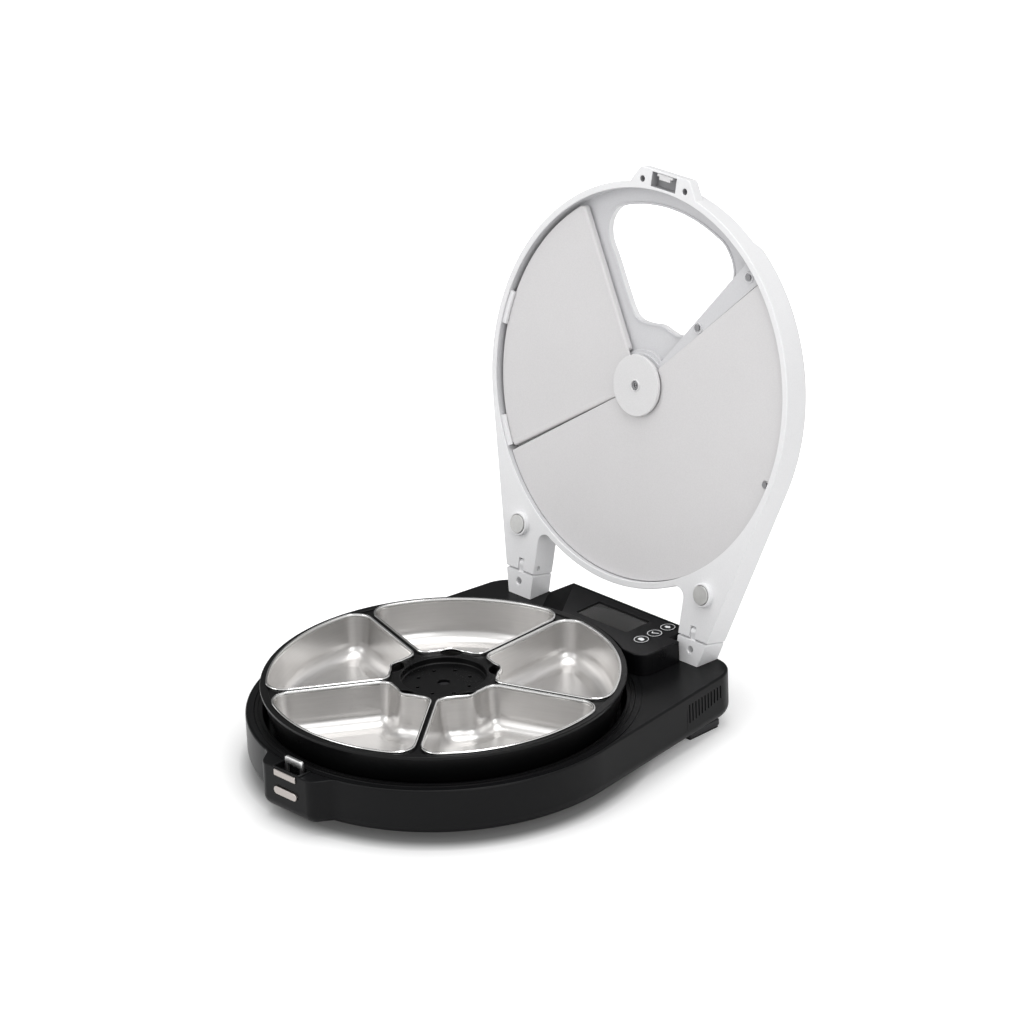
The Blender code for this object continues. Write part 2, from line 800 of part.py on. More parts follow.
def flank_matrix(along_y, z):
    """Frame on the right flank: X leaves the flank, Y runs to the rear."""
    c = math.cos(BASE_TAPER)
    s = math.sin(BASE_TAPER)
    run = (along_y - BASE_R * s) / c
    place = Vector((BASE_R * c - run * s, BASE_R * s + run * c, z))
    return Matrix.Translation(place) @ Matrix.Rotation(BASE_TAPER, 4, "Z")


def shell_columns(radius, z0, z1):
    """The rear pair of screw columns."""
    x, y = SCREW_REAR
    return [cylinder("column", radius, z0, z1, (side * x, y)) for side in (-1, 1)]


def liner_columns(radius, z0, z1):
    """The front pair of screw columns, under the well."""
    x, y = SCREW_FRONT
    return [cylinder("column", radius, z0, z1, (side * x, y)) for side in (-1, 1)]


def plate_top():
    return BASE_BOTTOM_Z + WALL


def make_base_shell():
    """Outer shell of the base with its deck, boss, pocket and vents."""
    shell = prism("base_shell", [base_outline(0)], BASE_BOTTOM_Z, DECK_Z)
    middle = (BASE_BOTTOM_Z + DECK_Z) / 2
    bevel_group(shell, "under", lambda p: p.z < middle, BASE_UNDER_R, 5)
    bevel_group(shell, "edge", lambda p: p.z > middle, BASE_EDGE_R, 2)
    boss = prism("boss", [boss_outline(0)], BOSS_BOTTOM_Z, DECK_Z)
    front_limit = (BOSS_ROOT_Y * BOSS_IN_SHARE + BOSS_FRONT_Y) / 2

    def in_front(place):
        """Whether a point is low on the part of the boss outside the shell."""
        return place.z < middle and place.y < front_limit

    bevel_group(boss, "under", in_front, BOSS_UNDER_R, 4)
    join(shell, boss)
    cavity = prism("cavity", [base_outline(WALL)], plate_top(), DECK_Z - WALL)
    bevel_group(cavity, "under", lambda p: p.z < middle, BASE_UNDER_R - WALL, 5)
    boss_roof = DECK_Z - BOSS_ROOF
    boss_cavity = prism("boss_cavity", [boss_outline(WALL)], BOSS_BOTTOM_Z + WALL, boss_roof)
    bevel_group(boss_cavity, "under", in_front, BOSS_UNDER_R - WALL, 4)
    cut(shell, cavity)
    cut(shell, boss_cavity)
    flange = BASE_UNDER_R + BASE_FLANGE
    hatch = prism("hatch", [base_outline(flange)], BASE_BOTTOM_Z - OVERRUN,
                  plate_top() + OVERRUN)
    cut(shell, hatch)
    join(shell, *shell_columns(COLUMN_R, plate_top() + FIT, DECK_Z - WALL / 2))
    opening = cylinder("well_opening", LINER_R + FIT, DECK_Z - WALL - OVERRUN,
                       DECK_Z + OVERRUN, steps=ROUND_STEPS)
    seat = cylinder("ring_seat", LINER_RING_R + FIT, DECK_Z - LINER_RING_T - FIT,
                    DECK_Z + OVERRUN, steps=ROUND_STEPS)
    cut(shell, opening)
    cut(shell, seat)
    for bore in shell_columns(SCREW_BORE_R, BASE_BOTTOM_Z, BASE_BOTTOM_Z + 2 * SCREW_LONG):
        cut(shell, bore)
    cut_latch_pocket(shell)
    cut_vents(shell)
    nose = cylinder("inlet_hole", INLET_NOSE_R + FIT, 0, 2 * WALL + OVERRUN)
    facing_front(nose, BASE_REAR_Y + OVERRUN, INLET_Z)
    turn(nose, Matrix.Translation((INLET_X, 0, 0)))
    cut(shell, nose)
    return as_part(shell, "base_shell", black_plastic())


def cut_latch_pocket(shell):
    """Pocket for the bail, its slot and the hole for the release button."""
    pocket_floor = DECK_Z - POCKET_DEPTH
    pocket = box("pocket", (-POCKET_HALF, BOSS_FRONT_Y + POCKET_FRONT_WALL, pocket_floor),
                 (POCKET_HALF, POCKET_BACK_Y, DECK_Z + OVERRUN))
    slot = box("bail_slot",
               (-BAIL_HALF - FIT, BAIL_BACK_Y - BAIL_THICK - FIT, DECK_Z - BOSS_ROOF - OVERRUN),
               (BAIL_HALF + FIT, BAIL_BACK_Y + FIT, DECK_Z))
    hole = prism("pill_hole", [stadium(PILL_HALF, PILL_TALL, FIT)], -WALL - OVERRUN, OVERRUN)
    facing_front(hole, BOSS_FRONT_Y, PILL_Z)
    cut(shell, pocket)
    cut(shell, slot)
    cut(shell, hole)


def cut_vents(shell):
    """A row of upright slots that get shorter to the rear."""
    for i in range(VENT_COUNT):
        share = 1 + (VENT_SHORT_SHARE - 1) * i / (VENT_COUNT - 1)
        low = VENT_TOP_Z - VENT_TALL * share
        slot = box("vent", (-2 * WALL, -VENT_WIDE / 2, low - VENT_TOP_Z),
                   (OVERRUN, VENT_WIDE / 2, 0))
        turn(slot, flank_matrix(VENT_FIRST_Y + VENT_PITCH * i, VENT_TOP_Z))
        cut(shell, slot)


def foot_places():
    """The four foot centres."""
    places = []
    for x, y in (FOOT_REAR, FOOT_FRONT):
        places += [(x, y), (-x, y)]
    return places


def make_base_bottom():
    """Bottom plate with four foot blocks."""
    inset = BASE_UNDER_R + BASE_FLANGE + FIT
    plate = prism("base_bottom", [base_outline(inset)], BASE_BOTTOM_Z, plate_top())
    pad_top = PAD_THICK + FIT
    under = BASE_BOTTOM_Z - FIT
    neck = FOOT_X * FOOT_NECK_SHARE / 2
    for x, y in foot_places():
        side = 1 if x > 0 else -1
        block = box("foot", (x - FOOT_X / 2, y - FOOT_Y / 2, pad_top),
                    (x + FOOT_X / 2, y + FOOT_Y / 2, under))
        middle = Vector((x, y))
        if y > 0:
            middle = Vector((side * FOOT_NECK_REAR_X, FOOT_NECK_REAR_Y))
        root = box("foot_neck", (middle.x - neck, middle.y - neck, pad_top + PAD_THICK),
                   (middle.x + neck, middle.y + neck, plate_top() - WALL / 2))
        join(plate, block, root)
    for x, y in screw_places():
        cut(plate, cylinder("screw_hole", SCREW_BORE_R, pad_top, plate_top() + OVERRUN, (x, y)))
    return as_part(plate, "base_bottom", charcoal_plastic())


def make_foot_pads():
    """Four rubber pads."""
    for i, (x, y) in enumerate(foot_places()):
        pad = box("pad", (x - PAD_X / 2, y - PAD_Y / 2, 0), (x + PAD_X / 2, y + PAD_Y / 2, PAD_THICK))
        as_part(pad, f"foot_pad_{i + 1}", rubber())


def screw_places():
    """The four base screws."""
    places = []
    for x, y in (SCREW_REAR, SCREW_FRONT):
        places += [(x, y), (-x, y)]
    return places


def make_base_screws():
    """Screws that hold the bottom plate."""
    top = BASE_BOTTOM_Z - FIT
    for i, (x, y) in enumerate(screw_places()):
        head = cylinder("head", SCREW_HEAD_R, top - SCREW_HEAD_T, top, (x, y))
        shank = cylinder("shank", SCREW_R, top - SCREW_HEAD_T / 2,
                         plate_top() + SCREW_LONG, (x, y))
        as_part(join(head, shank), f"base_screw_{i + 1}", bright_metal())


def liner_under():
    return LINER_FLOOR_Z - LINER_WALL


def make_well_liner():
    """The cold well: a round pan with a ring on the deck."""
    inner = LINER_R - LINER_WALL
    under = liner_under()
    wall_foot = LINER_FLOOR_Z + LINER_FOOT_R
    profile = [
        (COLLAR_R, COLLAR_TOP_Z),
        (COLLAR_R + LINER_WALL, COLLAR_TOP_Z),
        (COLLAR_R + LINER_WALL, LINER_FLOOR_Z),
        (inner - LINER_FOOT_R, LINER_FLOOR_Z),
        (inner, wall_foot),
        (inner, DECK_Z),
        (LINER_RING_R, DECK_Z),
        (LINER_RING_R, DECK_Z - LINER_RING_T),
        (LINER_R, DECK_Z - LINER_RING_T),
        (LINER_R, wall_foot - LINER_WALL),
        (LINER_R - LINER_FOOT_R, under),
        (COLLAR_R, under),
    ]
    liner = turned("well_liner", profile)
    join(liner, *liner_columns(COLUMN_R, plate_top() + FIT, under + LINER_WALL / 2))
    for bore in liner_columns(SCREW_BORE_R, BASE_BOTTOM_Z, BASE_BOTTOM_Z + 2 * SCREW_LONG):
        cut(liner, bore)
    return as_part(liner, "well_liner", black_plastic())


def make_ring_foam():
    """Foam round the wall of the well."""
    inner = LINER_R + FIT
    outer = inner + RING_FOAM_T
    top = DECK_Z - WALL - FIT
    profile = [(inner, top), (outer, top), (outer, RING_FOAM_Z), (inner, RING_FOAM_Z)]
    return as_part(turned("well_insulation", profile), "well_insulation", foam())


def stack_matrix(z):
    """Frame of the cooling stack: X points out from the turntable axis."""
    turn_z = Matrix.Rotation(STACK_ANGLE, 4, "Z")
    return turn_z @ Matrix.Translation((STACK_AT_R, 0, z))


def stack_block(name, side, thick, top):
    """A square layer of the stack below a level."""
    half = side / 2
    layer = box(name, (-half, -half, -thick), (half, half, 0))
    return turn(layer, stack_matrix(top))


def make_floor_foam():
    """Foam under the floor of the well."""
    top = liner_under() - FIT
    pad = cylinder("floor_insulation", FLOOR_FOAM_R, top - FLOOR_FOAM_T, top,
                   steps=ROUND_STEPS)
    room = stack_block("room", COLD_SIDE + 2 * FIT, FLOOR_FOAM_T + 2 * OVERRUN, top + OVERRUN)
    cut(pad, room)
    cut(pad, cylinder("motor_room", MOTOR_R + FIT, top - FLOOR_FOAM_T - OVERRUN, top + OVERRUN,
                      steps=ROUND_STEPS // 2))
    for hole in liner_columns(COLUMN_R + FIT, top - FLOOR_FOAM_T - OVERRUN, top + OVERRUN):
        cut(pad, hole)
    return as_part(pad, "floor_insulation", foam())


def make_cooling_stack():
    """Cold plate, thermoelectric module and finned heat sink."""
    top = liner_under() - FIT
    cold = stack_block("cold_plate", COLD_SIDE, COLD_THICK, top)
    as_part(cold, "cold_plate", aluminium())
    module_top = top - COLD_THICK - FIT
    module = stack_block("module", MODULE_SIDE, MODULE_THICK, module_top)
    as_part(module, "thermoelectric_module", ceramic())
    sink_top = module_top - MODULE_THICK - FIT
    fin_long = sink_top - SINK_BASE - plate_top() - SINK_FLOOR_GAP
    half = COLD_SIDE / 2
    pitch = (COLD_SIDE - SINK_FIN_T) / (SINK_FINS - 1)
    comb = [(half, 0), (-half, 0)]
    for i in range(SINK_FINS):
        left = -half + pitch * i
        comb += [(left, -SINK_BASE), (left, -SINK_BASE - fin_long),
                 (left + SINK_FIN_T, -SINK_BASE - fin_long), (left + SINK_FIN_T, -SINK_BASE)]
    comb = [comb[0], comb[1]] + comb[3:-1]
    sink = prism("heat_sink", [comb], -half, half)
    upright = Matrix.Rotation(math.pi / 2, 4, "Z") @ Matrix.Rotation(math.pi / 2, 4, "X")
    turn(sink, stack_matrix(sink_top) @ upright)
    return as_part(sink, "heat_sink", aluminium())


def fan_matrix():
    """Frame of the fan: its axis leaves through the right flank."""
    top = DECK_Z - WALL - FIT
    centre = flank_matrix(FAN_Y, top - FAN_SIDE / 2)
    inward = Matrix.Translation((-FAN_IN - FAN_DEEP / 2, 0, 0))
    return centre @ inward @ Matrix.Rotation(math.pi / 2, 4, "Y")


def make_fan():
    """Square fan frame with its spokes, and the rotor."""
    half = FAN_SIDE / 2
    deep = FAN_DEEP / 2
    frame = box("fan_frame", (-half, -half, -deep), (half, half, deep))
    bore = cylinder("fan_bore", FAN_BORE_R, -deep - OVERRUN, deep + OVERRUN, steps=32)
    cut(frame, bore)
    plate = cylinder("fan_plate", FAN_HUB_R, -deep, FAN_PLATE_T - deep)
    join(frame, plate)
    for i in range(3):
        spoke = box("spoke", (FAN_HUB_R / 2, -FAN_SPOKE_W / 2, -deep),
                    (FAN_BORE_R + FAN_SPOKE_W / 2, FAN_SPOKE_W / 2, FAN_PLATE_T - deep))
        turn(spoke, Matrix.Rotation(math.tau * i / 3, 4, "Z"))
        join(frame, spoke)
    low = FAN_PLATE_T - deep + FIT
    rotor = cylinder("fan_rotor", FAN_HUB_R, low, low + FAN_ROTOR_T)
    blade_r = FAN_BORE_R - 2 * FIT
    for i in range(FAN_BLADES):
        blade = box("blade", (FAN_HUB_R / 2, -FAN_ROTOR_T / 2, -FAN_BLADE_T / 2),
                    (blade_r, FAN_ROTOR_T / 2, FAN_BLADE_T / 2))
        turn(blade, Matrix.Rotation(FAN_BLADE_PITCH, 4, "X"))
        turn(blade, Matrix.Translation((0, 0, low + FAN_ROTOR_T / 2)))
        turn(blade, Matrix.Rotation(math.tau * i / FAN_BLADES, 4, "Z"))
        join(rotor, blade)
    as_part(frame, "fan_frame", black_plastic())
    as_part(rotor, "fan_rotor", black_plastic())
    for item in (frame, rotor):
        place_with_cutters(item, fan_matrix())
    return frame, rotor


def place_with_cutters(item, matrix):
    """Places a solid and everything that its Booleans use."""
    tools = [m.object for m in item.modifiers if m.type == "BOOLEAN"]
    for each in [item] + tools:
        each.matrix_world = matrix


def make_drive():
    """Flat gear motor with its shaft, and the driver under the tray."""
    low = plate_top() + FIT
    motor = cylinder("drive_motor", MOTOR_R, low, low + MOTOR_TALL, steps=ROUND_STEPS // 2)
    shaft = cylinder("shaft", SHAFT_R, low + MOTOR_TALL / 2, SHAFT_TOP_Z)
    join(motor, shaft)
    as_part(motor, "drive_motor", aluminium())
    hub = cylinder("drive_hub", HUB_FLANGE_R, HUB_Z, HUB_Z + HUB_FLANGE_T, steps=ROUND_STEPS // 2)
    core_top = TRAY_SINK_Z - TRAY_SINK_T - FIT
    core = cylinder("hub_core", HUB_R, HUB_Z + HUB_FLANGE_T / 2, core_top)
    bore = cylinder("hub_bore", SHAFT_R + PIN_FIT, HUB_Z - OVERRUN, SHAFT_TOP_Z + FIT)
    join(hub, core)
    cut(hub, bore)
    return as_part(hub, "drive_hub", charcoal_plastic())


# Tray and bowls
def make_tray():
    """Turntable: a round pan with a raised hub ring, five ribs and finger notches."""
    under = TRAY_FLOOR_Z - TRAY_FLOOR_T
    profile = [
        (TRAY_HOLE_R, TRAY_SINK_Z),
        (TRAY_SINK_R, TRAY_SINK_Z),
        (TRAY_SINK_R, TRAY_RING_Z),
        (TRAY_RING_R, TRAY_RING_Z),
        (TRAY_RING_FOOT_R, TRAY_FLOOR_Z),
        (TRAY_FOOT_R, TRAY_FLOOR_Z),
        (TRAY_KNEE_R, TRAY_KNEE_Z),
        (TRAY_LEDGE_R, TRAY_TOP_Z),
        (TRAY_R, TRAY_TOP_Z),
        (TRAY_R, TRAY_TOP_Z - TRAY_RIM_DOWN),
        (TRAY_WAIST_R, DECK_Z),
        (TRAY_BELLY_R, TRAY_FLOOR_Z + TRAY_BELLY_UP),
        (TRAY_FOOT_R, under),
        (TRAY_CORE_R, under),
        (TRAY_CORE_R, TRAY_SINK_Z - TRAY_SINK_T),
        (TRAY_HOLE_R, TRAY_SINK_Z - TRAY_SINK_T),
    ]
    tray = turned("tray", profile)
    reach_in = (TRAY_CORE_R + TRAY_RING_R) / 2
    reach_out = (TRAY_FOOT_R + TRAY_BELLY_R) / 2
    for i in range(BOWL_COUNT):
        rib = box("rib", (reach_in, -RIB_HALF, under + TRAY_FLOOR_T / 2),
                  (reach_out, RIB_HALF, TRAY_RING_Z - FIT))
        turn(rib, Matrix.Rotation(bowl_angle(i) + math.pi / BOWL_COUNT, 4, "Z"))
        join(tray, rib)
        notch = cylinder("finger_notch", FINGER_R, TRAY_RING_Z - FINGER_DEEP,
                         TRAY_RING_Z + OVERRUN, (FINGER_AT_R, 0))
        turn(notch, Matrix.Rotation(bowl_angle(i), 4, "Z"))
        cut(tray, notch)
    return as_part(tray, "tray", black_plastic())


def bowl_angle(i):
    return BOWL_FIRST_ANGLE + math.tau * i / BOWL_COUNT


def bowl_sections():
    """Inset and depth of each section, from the curled rim to the floor."""
    curl = BOWL_RIM_W / CORNER_STEPS
    body = BOWL_RIM_W + BOWL_CURL
    sections = [(0, BOWL_CURL), (curl, 0), (BOWL_RIM_W, 0), (body, BOWL_CURL)]
    side_deep = BOWL_DEEP - BOWL_FILLET
    foot = body + BOWL_DRAFT
    for i in range(BOWL_FILLET_STEPS + 1):
        angle = math.pi / 2 * i / BOWL_FILLET_STEPS
        sections.append((foot + BOWL_FILLET * (1 - math.cos(angle)),
                         side_deep + BOWL_FILLET * math.sin(angle)))
    return sections


def bowl_mesh():
    """Open surface of one bowl, about +X, its rim at the rim's own height."""
    bm = bmesh.new()
    rings = []
    for inset, deep in bowl_sections():
        shrink = BOWL_CORNER_R / (BOWL_CORNER_R + inset)
        outline = sector_outline(BOWL_IN_R + inset, BOWL_OUT_R - inset,
                                 math.pi / BOWL_COUNT, BOWL_GAP / 2 + inset,
                                 BOWL_IN_CORNER_R * shrink, BOWL_CORNER_R * shrink,
                                 CORNER_STEPS)
        verts = [bm.verts.new((x, y, -deep)) for x, y in outline]
        edges = [bm.edges.new((verts[i], verts[(i + 1) % len(verts)]))
                 for i in range(len(verts))]
        rings.append((verts, edges))
    for above, below in zip(rings, rings[1:]):
        bmesh.ops.bridge_loops(bm, edges=above[1] + below[1])
    floor = bm.faces.new(rings[-1][0])
    floor.normal_update()
    bmesh.ops.recalc_face_normals(bm, faces=bm.faces)
    floor.normal_update()
    if floor.normal.z < 0:
        bmesh.ops.reverse_faces(bm, faces=bm.faces)
    mesh = bpy.data.meshes.new("bowl")
    bm.to_mesh(mesh)
    bm.free()
    return mesh


def make_bowls():
    """Five equal sector bowls hanging by their rims."""
    mesh = bowl_mesh()
    mesh.materials.append(stainless())
    mesh.shade_smooth()
    mesh.set_sharp_from_angle(angle=SMOOTH_ANGLE)
    for i in range(BOWL_COUNT):
        bowl = add_object(f"bowl_{i + 1}", mesh, cutter=False)
        bowl.location = (0, 0, BOWL_RIM_Z)
        bowl.rotation_euler.z = bowl_angle(i)
        skin = bowl.modifiers.new("Steel", "SOLIDIFY")
        skin.thickness = BOWL_STEEL
        skin.offset = -1


# Latch on the base
def make_latch():
    """Bail, latch plate and release button on the front boss."""
    inner = BAIL_HALF - BAIL_LEG
    tall = BAIL_TOP_Z - BAIL_BOTTOM_Z
    corner = BAIL_CORNER_R
    outline = arc((BAIL_HALF - corner, tall - corner), corner, 0, math.pi / 2, CORNER_STEPS)
    outline += arc((corner - BAIL_HALF, tall - corner), corner, math.pi / 2, math.pi,
                   CORNER_STEPS)
    left_foot = [(-BAIL_HALF, BAIL_LEG), (-BAIL_HALF - BAIL_FOOT, BAIL_LEG),
                 (-BAIL_HALF - BAIL_FOOT, 0), (-inner, 0), (-inner, tall - BAIL_BAR)]
    outline += left_foot + mirrored(left_foot)
    bail = prism("latch_bail", [outline], 0, BAIL_THICK)
    facing_front(bail, BAIL_BACK_Y, BAIL_BOTTOM_Z)
    as_part(bail, "latch_bail", bright_metal())
    strip = box("latch_plate", (-PLATE_HALF, BOSS_FRONT_Y - FIT - PLATE_THICK,
                                PLATE_Z - PLATE_TALL / 2),
                (PLATE_HALF, BOSS_FRONT_Y - FIT, PLATE_Z + PLATE_TALL / 2))
    as_part(strip, "latch_plate", stainless())
    pill = prism("release_button", [stadium(PILL_HALF, PILL_TALL)], -WALL - 2 * FIT, PILL_PROUD)
    flange = prism("pill_flange", [stadium(PILL_HALF, PILL_TALL, PILL_FLANGE)],
                   -WALL - FIT - PILL_FLANGE, -WALL - FIT)
    join(pill, flange)
    for each in (pill, flange):
        facing_front(each, BOSS_FRONT_Y, PILL_Z)
    return as_part(pill, "release_button", stainless())


# Console
def slope_direction():
    """Direction of the slope's top edge, from its front to its rear end."""
    return (Vector(SLOPE_REAR) - Vector(SLOPE_FRONT)).normalized()


def console_outline(inset):
    """Plan of the console behind the tray, with its left side still square."""
    front_r = TRAY_R + CONSOLE_GAP_R + inset
    corner = CONSOLE_CORNER_R - inset
    corner_at = (CONSOLE_RIGHT_X - CONSOLE_CORNER_R, CONSOLE_FRONT_Y + CONSOLE_CORNER_R)
    points = arc((0, 0), front_r, CONSOLE_ARC_A0, CONSOLE_ARC_A1, ROUND_STEPS // 8)
    points += arc(corner_at, corner, -math.pi / 2, 0, CORNER_STEPS)
    points.append((CONSOLE_RIGHT_X - inset, CONSOLE_STEP_Y - inset))
    points.append((CONSOLE_REAR_X - inset, CONSOLE_STEP_Y - inset))
    rear = (CONSOLE_REAR_X - CONSOLE_REAR_R, CONSOLE_REAR_Y - CONSOLE_REAR_R)
    points += arc(rear, CONSOLE_REAR_R - inset, 0, math.pi / 2, CORNER_STEPS)
    points.append((CONSOLE_LEFT_X + inset, CONSOLE_REAR_Y - inset))
    points.append((CONSOLE_LEFT_X + inset, CONSOLE_LEFT_Y))
    return points


def slope_cutter(name, shift, level):
    """Takes off what lies above the sloping left end of the console."""
    run = slope_direction()
    half = SLOPE_REACH
    block = box(name, (-half, -half / 2, 0), (half, half, half))
    inward = Vector((run.y, -run.x)) * shift
    middle = (Vector(SLOPE_REAR) + Vector(SLOPE_FRONT)) / 2 + inward
    yaw = Matrix.Rotation(math.atan2(run.y, run.x), 4, "Z")
    tilt = Matrix.Rotation(-SLOPE_ANGLE, 4, "X")
    return turn(block, Matrix.Translation((middle.x, middle.y, level)) @ yaw @ tilt)


def make_console():
    """Housing, window, display, buttons and board."""
    foot = DECK_Z + FIT
    roof = CONSOLE_TOP_Z - CONSOLE_WALL
    housing = prism("console_housing", [console_outline(0)], foot, CONSOLE_TOP_Z)
    cut(housing, slope_cutter("slope", 0, CONSOLE_TOP_Z))
    hollow = prism("console_hollow", [console_outline(CONSOLE_WALL)], foot - OVERRUN, roof)
    cut(hollow, slope_cutter("slope_inside", CAVITY_LEFT, roof))
    cut(housing, hollow)
    half_w = DISPLAY_W / 2
    half_h = DISPLAY_H / 2
    frame_hole = box("display_hole", (DISPLAY_X - half_w, DISPLAY_Y - half_h, roof - OVERRUN),
                     (DISPLAY_X + half_w, DISPLAY_Y + half_h, CONSOLE_TOP_Z + OVERRUN))
    cut(housing, frame_hole)
    for y in BUTTON_YS:
        cut(housing, cylinder("button_hole", BUTTON_R + FIT, roof - OVERRUN,
                              CONSOLE_TOP_Z + OVERRUN, (BUTTON_X, y), 28))
    as_part(housing, "console_housing", black_plastic())
    pane_top = CONSOLE_TOP_Z - DISPLAY_SUNK
    pane = box("display_window", (DISPLAY_X - half_w + FIT, DISPLAY_Y - half_h + FIT,
                                  pane_top - DISPLAY_T),
               (DISPLAY_X + half_w - FIT, DISPLAY_Y + half_h - FIT, pane_top))
    as_part(pane, "display_window", smoked_glass())
    screen_top = pane_top - DISPLAY_T - FIT
    screen = box("display_module", (DISPLAY_X - half_w + SCREEN_IN, DISPLAY_Y - half_h + SCREEN_IN,
                                    screen_top - MODULE_TALL),
                 (DISPLAY_X + half_w - SCREEN_IN, DISPLAY_Y + half_h - SCREEN_IN, screen_top))
    as_part(screen, "display_module", charcoal_plastic())
    make_buttons(screen_top - MODULE_TALL - FIT, roof)


def make_buttons(board_top, roof):
    """Three round buttons over the switches of the console board."""
    top = CONSOLE_TOP_Z + BUTTON_PROUD
    low = top - BUTTON_DOWN
    for i, y in enumerate(BUTTON_YS):
        cap = cylinder("cap", BUTTON_R, low, top, (BUTTON_X, y), 28)
        flange = cylinder("cap_flange", BUTTON_FLANGE_R, low, low + BUTTON_FLANGE_T,
                          (BUTTON_X, y), 28)
        join(cap, flange)
        as_part(cap, f"button_{i + 1}", black_plastic())
    pcb = box("console_board", (BOARD_X0, BOARD_Y0, board_top - BOARD_T),
              (BOARD_X1, BOARD_Y1, board_top))
    half = SWITCH_SIDE / 2
    stub_top = low - BUTTON_TRAVEL - FIT
    for y in BUTTON_YS:
        switch = box("switch", (BUTTON_X - half, y - half, board_top - BOARD_T / 2),
                     (BUTTON_X + half, y + half, board_top + SWITCH_TALL))
        stub = cylinder("stub", SWITCH_STUB_R, board_top, stub_top, (BUTTON_X, y))
        join(pcb, switch, stub)
    as_part(pcb, "console_board", board())


# Electrics in the base
def make_control_board():
    """Main board on four spacers, with two chips."""
    x, y = CONTROL_AT
    low = plate_top() + FIT
    under = low + CONTROL_LIFT
    half_x = CONTROL_X / 2
    half_y = CONTROL_Y / 2
    pcb = box("control_board", (x - half_x, y - half_y, under),
              (x + half_x, y + half_y, under + BOARD_T))
    for sx in (-1, 1):
        for sy in (-1, 1):
            spot = (x + sx * (half_x - COLUMN_R), y + sy * (half_y - COLUMN_R))
            join(pcb, cylinder("spacer", COLUMN_R / 2, low, under + BOARD_T / 2, spot, 12))
        chip_x = x + sx * CHIP_X
        chip = box("chip", (chip_x - CHIP_X / 2, y - CHIP_Y / 2, under + BOARD_T / 2),
                   (chip_x + CHIP_X / 2, y + CHIP_Y / 2, under + BOARD_T + CHIP_TALL))
        join(pcb, chip)
    return as_part(pcb, "control_board", board())


def make_power_inlet():
    """Round low-voltage inlet behind the rear wall."""
    half = INLET_SIDE / 2
    wall_in = BASE_REAR_Y - WALL - FIT
    body = box("power_inlet", (INLET_X - half, wall_in - INLET_DEEP, INLET_Z - half),
               (INLET_X + half, wall_in, INLET_Z + half))
    nose_end = BASE_REAR_Y - INLET_SUNK
    back = Matrix.Translation((INLET_X, 0, INLET_Z)) @ Matrix.Rotation(-math.pi / 2, 4, "X")
    nose = turn(cylinder("nose", INLET_NOSE_R, wall_in - half, nose_end), back)
    bore = turn(cylinder("bore", INLET_BORE_R, nose_end - INLET_BORE_DEEP, nose_end + OVERRUN), back)
    pin = turn(cylinder("inlet_pin", INLET_PIN_R, nose_end - INLET_BORE_DEEP - FIT,
                        nose_end - INLET_SUNK, steps=12), back)
    join(body, nose)
    cut(body, bore)
    join(body, pin)
    return as_part(body, "power_inlet", black_plastic())


# Lid frame: X right, Y towards the latch, Z out of the rim face
def lid_matrix():
    """Frame of the open lid, at the middle of its rim face."""
    tilt = Matrix.Rotation(math.pi - LID_OPEN, 4, "X")
    pivot = Matrix.Translation((0, HINGE_Y, HINGE_Z)) @ tilt
    return pivot @ Matrix.Translation((0, LID_REACH, LID_RISE))


def make_lid_pivot():
    """Empty on the hinge axis that carries the lid."""
    pivot = bpy.data.objects.new("lid_pivot", None)
    pivot.location = (0, HINGE_Y, HINGE_Z)
    pivot.rotation_euler.x = math.pi - LID_OPEN
    SHOP.parts.objects.link(pivot)
    return pivot


def leg_end_s():
    return -LID_REACH - LEG_END_R


def leg_outer_x(s):
    """Outer edge of a leg, tangent to the rim, at a distance along the lid."""
    start = -LID_R * math.sin(LEG_TAPER)
    return LID_R * math.cos(LEG_TAPER) - (start - s) * math.tan(LEG_TAPER)


def lid_outline():
    """Round lid with two legs towards the hinge."""
    fillet = LEG_FILLET_R
    fx = LEG_INNER_X - fillet
    fs = -math.sqrt((LID_R + fillet) ** 2 - fx ** 2)
    toward = math.atan2(-fs, -fx)
    inner_angle = math.atan2(fs, fx)
    end = leg_end_s()
    right = [(leg_outer_x(end), end)]
    left = mirrored(right)
    inner_right = [(LEG_INNER_X, end)] + arc((fx, fs), fillet, 0, toward, CORNER_STEPS)
    inner_left = [(-x, y) for x, y in inner_right]
    rim = arc((0, 0), LID_R, -LEG_TAPER, math.pi + LEG_TAPER, ROUND_STEPS * 5 // 8)
    between = arc((0, 0), LID_R, -math.pi - inner_angle, inner_angle, ROUND_STEPS // 8)[1:-1]
    return rim + left + inner_left + between + inner_right[::-1] + right


def lid_boss_outline():
    """Front boss of the lid, reaching back into the rim."""
    root = LID_BOSS_ROOT_HALF
    half = LID_BOSS_HALF
    back = (LID_CAVITY_R + LID_R) / 2
    low = math.sqrt(back ** 2 - root ** 2)
    return [(root, low), (root, LID_BOSS_ROOT_S), (half, LID_BOSS_S),
            (-half, LID_BOSS_S), (-root, LID_BOSS_ROOT_S), (-root, low)]


